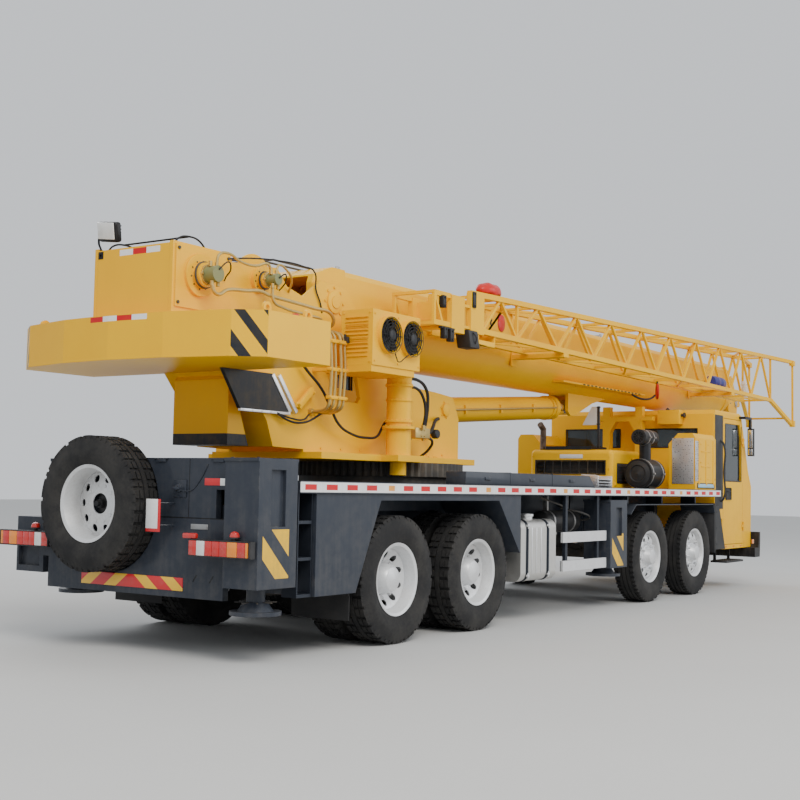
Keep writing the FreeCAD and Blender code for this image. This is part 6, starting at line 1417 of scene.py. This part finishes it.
for sign in (1, -1):
    for vert in block(corner, 7.872, 8.02, sign * 1.249, sign * 1.262, 0.545, 1.14):
        if vert.co.z < 0.8 and vert.co.x > 7.9:
            vert.co.x += 0.24
soften(corner, corner.edges[:], 0.004, 1)
for sign in (1, -1):
    bolts(corner, [(7.92, sign * 1.262, z) for z in (0.62, 0.84, 1.06)], (0, sign, 0), 0.009, 0.006)
newPiece("cabCornerGuards", corner, "chassis", "plastic")
mirrorGlass = bmesh.new()
for sign in (1, -1):
    block(mirrorGlass, 9.0755, 9.0805, sign * 1.310, sign * 1.377, 1.98, 2.24, 0.003)
    block(mirrorGlass, 9.0755, 9.0805, sign * 1.310, sign * 1.377, 1.875, 1.965, 0.003)
newPiece("mirrorGlass", mirrorGlass, "chassis", "chrome")
screenUp, screenOut = Vector((-0.354, 0, 0.935)), Vector((0.935, 0, 0.354))
screenFoot = Vector((9.33, 0, 1.50))


def onScreen(y, up, out):
    return screenFoot + Vector((0, y, 0)) + screenUp * up + screenOut * out


wipers = bmesh.new()
for y in (-0.75, 0.0, 0.75):
    domed(wipers, onScreen(y, 0.02, 0.0), screenOut, [(0.024, 0.0), (0.020, 0.03)], 0.034, 16)
    hose(wipers, [onScreen(y, 0.02, 0.03), onScreen(y + 0.12, 0.14, 0.034),
                  onScreen(y + 0.28, 0.30, 0.024)], 0.007)
    rod(wipers, onScreen(y - 0.02, 0.26, 0.018), onScreen(y + 0.58, 0.34, 0.018), 0.007, 6)
for k in range(6):
    z = 0.87 + 0.068 * k
    block(wipers, 9.386, 9.402, -0.78, 0.78, z, z + 0.034, 0.006)
block(wipers, 9.384, 9.393, -0.84, 0.84, 0.83, 1.30, 0.006)
block(wipers, 9.436, 9.446, -0.27, 0.27, 0.455, 0.575, 0.004)
for sign in (1, -1):
    block(wipers, 9.434, 9.448, sign * 0.80, sign * 1.32, 0.47, 0.70, 0.02)
    block(wipers, 9.436, 9.446, sign * 0.42, sign * 0.64, 0.47, 0.60, 0.02)
newPiece("cabFront", wipers, "chassis", "plastic")
frontLamps, frontAmber = bmesh.new(), bmesh.new()
for sign in (1, -1):
    radius = 0.072
    for y in (0.92, 1.10):
        domed(frontLamps, (9.447, sign * y, 0.585), (1, 0, 0),
              [(radius, 0.0), (radius, 0.006), (radius * 0.7, 0.014)], 0.018, 32)
    domed(frontLamps, (9.445, sign * 0.53, 0.535), (1, 0, 0), [(0.048, 0.0), (0.044, 0.008)], 0.012, 28)
    block(frontAmber, 9.446, 9.456, sign * 1.20, sign * 1.30, 0.53, 0.64, 0.006)
    for x in (8.30, 8.60, 8.90):
        block(frontAmber, x, x + 0.05, sign * 1.2495, sign * 1.257, 0.562, 0.584, 0.003)
    block(frontAmber, 9.05, 9.13, sign * 1.368, sign * 1.380, 0.60, 0.66, 0.004)
newPiece("frontLamps", frontLamps, "chassis", "clearLens")
newPiece("amberLamps", frontAmber, "chassis", "amberLens")
plate = shape(lambda b: block(b, 9.4455, 9.4495, -0.25, 0.25, 0.465, 0.565, 0.002))
bolts(plate, [(9.4495, y, 0.515) for y in (-0.22, 0.22)], (1, 0, 0), 0.006, 0.003)
newPiece("blankNumberPlate", plate, "chassis", "grey")
seals = bmesh.new()
rearWindow = {"x": 7.848, "low": 1.945, "top": 2.205, "cord": 0.008}
for z in (rearWindow["low"], rearWindow["top"]):
    for sign in (1, -1):
        rod(seals, (rearWindow["x"], sign * 0.14, z), (rearWindow["x"], sign * 1.01, z), rearWindow["cord"],
            8)
for y in (0.145, 1.005):
    for sign in (1, -1):
        ends = [(rearWindow["x"], sign * y, rearWindow[key]) for key in ("low", "top")]
        rod(seals, ends[0], ends[1], rearWindow["cord"], 8)
newPiece("windowSeals", seals, "chassis", "hose")

# Tanks, air bottles and brake chambers under the deck
tankBits = bmesh.new()
for sign in (1, -1):
    for x in (2.31, 2.755):
        for z in (0.46, 0.96):
            block(tankBits, x - 0.02, x + 0.02, sign * 1.330, sign * 1.352, z - 0.012, z + 0.012, 0.003)
            rod(tankBits, (x, sign * 1.343, z - 0.03), (x, sign * 1.343, z + 0.03), 0.006, 8)
    domed(tankBits, (2.53, sign * 1.20, 1.018), (0, 0, 1), [(0.06, 0.0), (0.06, 0.03), (0.072, 0.032),
                                                            (0.072, 0.055), (0.03, 0.062)], 0.062, 32)
    for x in (2.20, 2.93):
        block(tankBits, x - 0.006, x + 0.006, sign * 0.80, sign * 1.25, 0.50, 0.92, 0.003)
    for k in range(3):
        block(tankBits, 2.40 + 0.10 * k, 2.42 + 0.10 * k, sign * 1.328, sign * 1.336, 0.48, 0.94, 0.004)
newPiece("tankFittings", tankBits, "chassis", "aluminium")
airParts, airStraps = bmesh.new(), bmesh.new()
bottle = {"x": 3.12, "y": 1.02, "z": 0.98, "straps": (3.30, 3.78), "drain": 3.55, "deck": 1.266}
for sign in (1, -1):
    y, z = sign * bottle["y"], bottle["z"]
    domed(airParts, (bottle["x"], y, z), (1, 0, 0), [(0.07, 0.012), (0.115, 0.05), (0.12, 0.08),
                                                     (0.12, 0.78), (0.115, 0.81), (0.07, 0.848)], 0.86, 36)
    for x in bottle["straps"]:
        collar(airStraps, (x, y, z), (1, 0, 0), 0.119, 0.124, -0.015, 0.015, 36)
        block(airStraps, x - 0.015, x + 0.015, sign * 0.99, sign * 1.05, z + 0.118, bottle["deck"], 0.003)
    rod(airStraps, (bottle["drain"], y, z - 0.145), (bottle["drain"], y, z - 0.115), 0.014, 6)
newPiece("airBottles", airParts, "chassis", "black")
newPiece("airBottleStraps", airStraps, "chassis", "steel")
chambers = bmesh.new()
for x in (0.0, 1.35):
    for sign in (1, -1):
        domed(chambers, (x + 0.17, sign * 0.56, 0.50), (1, 0, 0),
              [(0.05, 0.0), (0.085, 0.02), (0.085, 0.06), (0.095, 0.064), (0.095, 0.078), (0.085, 0.082),
               (0.085, 0.15), (0.06, 0.17)], 0.172, 28)
        hose(chambers, [(x + 0.34, sign * 0.56, 0.52), (x + 0.40, sign * 0.52, 0.62),
                        (x + 0.36, sign * 0.46, 0.76),
                        (x + 0.30, sign * 0.44, 0.83)], 0.010)
        rod(chambers, (x + 0.07, sign * 0.56, 0.50), (x + 0.18, sign * 0.56, 0.50), 0.016, 12)
newPiece("brakeChambers", chambers, "chassis", "casting")
springBolts = bmesh.new()
seat = 0.60
for x in (0.0, 1.35, 5.455, 6.925):
    for sign in (1, -1):
        for dx in (-0.09, 0.09):
            for dy in (-0.055, 0.055):
                rod(springBolts, (x + dx, sign * 0.50 + dy, seat), (x + dx, sign * 0.50 + dy, seat + 0.15),
                    0.011, 10)
        block(springBolts, x - 0.12, x + 0.12, sign * 0.43, sign * 0.57, seat + 0.115, seat + 0.135, 0.004)
newPiece("springBolts", springBolts, "chassis", "casting")

# Outriggers: cap bolts, a fitting with pipes, ribs on the floats
jackY = 1.195
jackRows = [("rear_right", -1.685, -1, 1.52, 0.56), ("rear_left", -1.226, 1, 1.52, 0.56),
            ("front_right", 4.392, -1, 1.22, 0.457), ("front_left", 4.392, 1, 1.22, 0.457)]
for name, x, sign, top, foot in jackRows:
    trim = bmesh.new()
    bolts(trim, [(x + dx, sign * y, top) for dx in (-0.19, 0.19) for y in (1.10, 1.35)], (0, 0, 1), 0.013,
          0.006)
    bolts(trim, [(x + dx, sign * 1.389, top - 0.05) for dx in (-0.19, 0.19)], (0, sign, 0), 0.010, 0.0008)
    collar(trim, (x, sign * jackY, foot - 0.0005), (0, 0, -1), 0.074, 0.105, 0.0, 0.014, 36)
    boltRing(trim, (x, sign * jackY, foot - 0.014), (0, 0, -1), 0.092, 8, 0.007, 0.006)
    newPiece("columnTrim_" + name, trim, "outrigger_beam_" + name, "blue")
    ribs = bmesh.new()
    for k in range(8):
        turn = Matrix.Rotation(2 * pi * k / 8, 4, "Z")
        centre = Vector((x, sign * jackY, 0.4545)) + turn @ Vector((1, 0, 0)) * 0.115
        block(ribs, centre.x - 0.042, centre.x + 0.042, centre.y - 0.006, centre.y + 0.006, 0.449, 0.4565,
              0.002, 1, turn)
    collar(ribs, (x, sign * jackY, 0.36), (0, 0, 1), 0.19, 0.1945, 0.0, 0.02, 48)
    hose(ribs, [(x - 0.15, sign * jackY, 0.445), (x - 0.10, sign * 1.20, 0.4545),
                (x - 0.075, sign * jackY, 0.452)], 0.005)
    newPiece("floatRibs_" + name, ribs, "outrigger_jack_" + name, "casting")
columnFittings = bmesh.new()
for x, sign, z in ((-1.50, -1, 1.30), (4.13, -1, 1.05), (4.13, 1, 1.05)):
    hose(columnFittings, [(x, sign * 1.04, z), (x + 0.02, sign * 0.99, z - 0.04),
                          (x + 0.02, sign * 0.92, z - 0.04)], 0.008)
hose(columnFittings, [(3.02, -1.10, 1.24), (3.20, -1.20, 1.18), (3.42, -1.16, 1.15), (3.60, -1.02, 1.14)],
     0.010)
hose(columnFittings, [(3.66, -1.02, 1.12), (3.80, -1.20, 1.08), (3.98, -1.22, 1.02), (4.05, -1.05, 0.98)],
     0.010)
newPiece("deckPipes", columnFittings, "chassis", "casting")
print("cab and underside made")

# Operator's cab: seals, handle, rails, wiper, work lamps and air unit
opBits = bmesh.new()
for z in (2.245, 3.035):
    rod(opBits, (0.74, 0.518, z), (1.80, 0.518, z), 0.008, 8)
for x in (0.735, 1.805):
    rod(opBits, (x, 0.518, 2.245), (x, 0.518, 3.035), 0.008, 8)
for z in (2.245, 3.035):
    rod(opBits, (0.618, 0.605, z), (0.618, 1.255, z), 0.008, 8)
for y in (0.605, 1.255):
    rod(opBits, (0.618, y, 2.245), (0.618, y, 3.035), 0.008, 8)
slopeTop, slopeLow = Vector((2.224, 0, 2.72)), Vector((2.296, 0, 2.06))
for y in (0.585, 1.275):
    rod(opBits, slopeLow + Vector((0.003, y, 0)), slopeTop + Vector((0.003, y, 0)), 0.009, 8)
for end in (slopeLow, slopeTop):
    rod(opBits, end + Vector((0.003, 0.585, 0)), end + Vector((0.003, 1.275, 0)), 0.009, 8)
hose(opBits, [(2.315, 0.75, 2.02), (2.31, 0.82, 2.20), (2.285, 0.95, 2.40)], 0.008)
rod(opBits, (2.305, 0.86, 2.22), (2.262, 1.10, 2.62), 0.007, 6)
newPiece("operatorCabSeals", opBits, "turntable", "hose")
opRails = bmesh.new()
for x in (0.80, 1.80):
    hose(opRails, [(x, 1.34, 2.10), (x, 1.355, 2.14), (x, 1.360, 2.45), (x, 1.355, 2.76), (x, 1.34, 2.80)],
         0.014)
for y in (0.62, 1.24):
    rod(opRails, (0.75, y, 3.215), (1.85, y, 3.215), 0.012, 12)
    for x in (0.80, 1.30, 1.80):
        rod(opRails, (x, y, 3.178), (x, y, 3.215), 0.010, 10)
for x in (0.95, 1.15, 1.35, 1.55):
    rod(opRails, (x, 0.62, 3.215), (x, 1.24, 3.215), 0.009, 10)
newPiece("operatorCabRails", opRails, "turntable", "black")
handle = bmesh.new()
block(handle, 0.925, 1.045, 1.3395, 1.3445, 2.035, 2.10, 0.012)
hose(handle, [(0.94, 1.342, 2.075), (0.955, 1.362, 2.075), (1.01, 1.362, 2.075), (1.03, 1.342, 2.075)],
     0.008)
for z in (1.745, 2.99):
    block(handle, 0.99, 1.62, 1.3395, 1.344, z, z + 0.012, 0.002)
newPiece("operatorDoorHandle", handle, "operator_door", "plastic")
workLamps, workLenses = bmesh.new(), bmesh.new()
for y in (0.66, 1.20):
    block(workLamps, 1.80, 1.87, y - 0.06, y + 0.06, 3.20, 3.30, 0.012)
    rod(workLamps, (1.83, y, 3.178), (1.83, y, 3.205), 0.014, 12)
    block(workLenses, 1.868, 1.878, y - 0.05, y + 0.05, 3.21, 3.29, 0.004)
newPiece("workLampBodies", workLamps, "turntable", "black")
newPiece("workLampLenses", workLenses, "turntable", "clearLens")
airUnit = bmesh.new()
block(airUnit, 0.545, 0.621, 0.70, 1.16, 1.78, 2.14, 0.016)
for k in range(7):
    block(airUnit, 0.538, 0.548, 0.74, 1.12, 1.83 + 0.04 * k, 1.845 + 0.04 * k, 0.003)
newPiece("cabAirUnit", airUnit, "turntable", "black")
print("operator's cab made")

# Floor, light and camera
floorMesh = bmesh.new()
bmesh.ops.create_grid(floorMesh, x_segments=1, y_segments=1, size=60,
                      matrix=Matrix.Translation((0, 0, -0.002)))
floorData = bpy.data.meshes.new("studioFloor")
floorMesh.to_mesh(floorData)
floorMesh.free()
floor = bpy.data.objects.new("studioFloor", floorData)
bpy.context.scene.collection.objects.link(floor)
floorData.materials.append(floorFinish("paleFloor"))

world = bpy.data.worlds.new("paleStudio")
world.use_nodes = True
world.node_tree.nodes["Background"].inputs["Color"].default_value = (0.86, 0.89, 0.93, 1)
world.node_tree.nodes["Background"].inputs["Strength"].default_value = 0.95
bpy.context.scene.world = world
for name, place, size, power, colour in (("keyLight", (-12, -12, 14), 9.0, 2600, (1.0, 0.97, 0.92)),
                                         ("fillLight", (8, -16, 7), 10.0, 900, (0.95, 0.97, 1.0)),
                                         ("backLight", (4, 14, 12), 10.0, 900, (0.95, 0.97, 1.0))):
    light = bpy.data.lights.new(name, "AREA")
    light.size, light.energy, light.color = size, power, colour
    lamp = bpy.data.objects.new(name, light)
    aim = (Vector(place) - Vector((0, 0, 1))).to_track_quat("Z", "Y")
    lamp.matrix_world = Matrix.Translation(place) @ aim.to_matrix().to_4x4()
    bpy.context.scene.collection.objects.link(lamp)

cameraSet = {"place": (-13.7824, -7.3596, 1.3329), "yaw": 34.018, "pitch": 3.905, "roll": 1.0623,
             "pixels": 1261.15}


def placeCamera():
    yaw, pitch, roll = (math.radians(cameraSet[key]) for key in ("yaw", "pitch", "roll"))
    forward = Vector((math.cos(pitch) * math.cos(yaw), math.cos(pitch) * math.sin(yaw), math.sin(pitch)))
    flat = Vector((math.sin(yaw), -math.cos(yaw), 0))
    rise = flat.cross(forward)
    right = flat * math.cos(roll) + rise * math.sin(roll)
    up = rise * math.cos(roll) - flat * math.sin(roll)
    data = bpy.data.cameras.new("photoCamera")
    data.sensor_width = 36.0
    data.lens = cameraSet["pixels"] / 800 * 36.0
    data.clip_end = 200
    camera = bpy.data.objects.new("photoCamera", data)
    matrix = Matrix((right, up, -forward)).transposed().to_4x4()
    matrix.translation = cameraSet["place"]
    camera.matrix_world = matrix
    bpy.context.scene.collection.objects.link(camera)
    bpy.context.scene.camera = camera


placeCamera()
print("camera and light set")

bpy.context.view_layer.update()
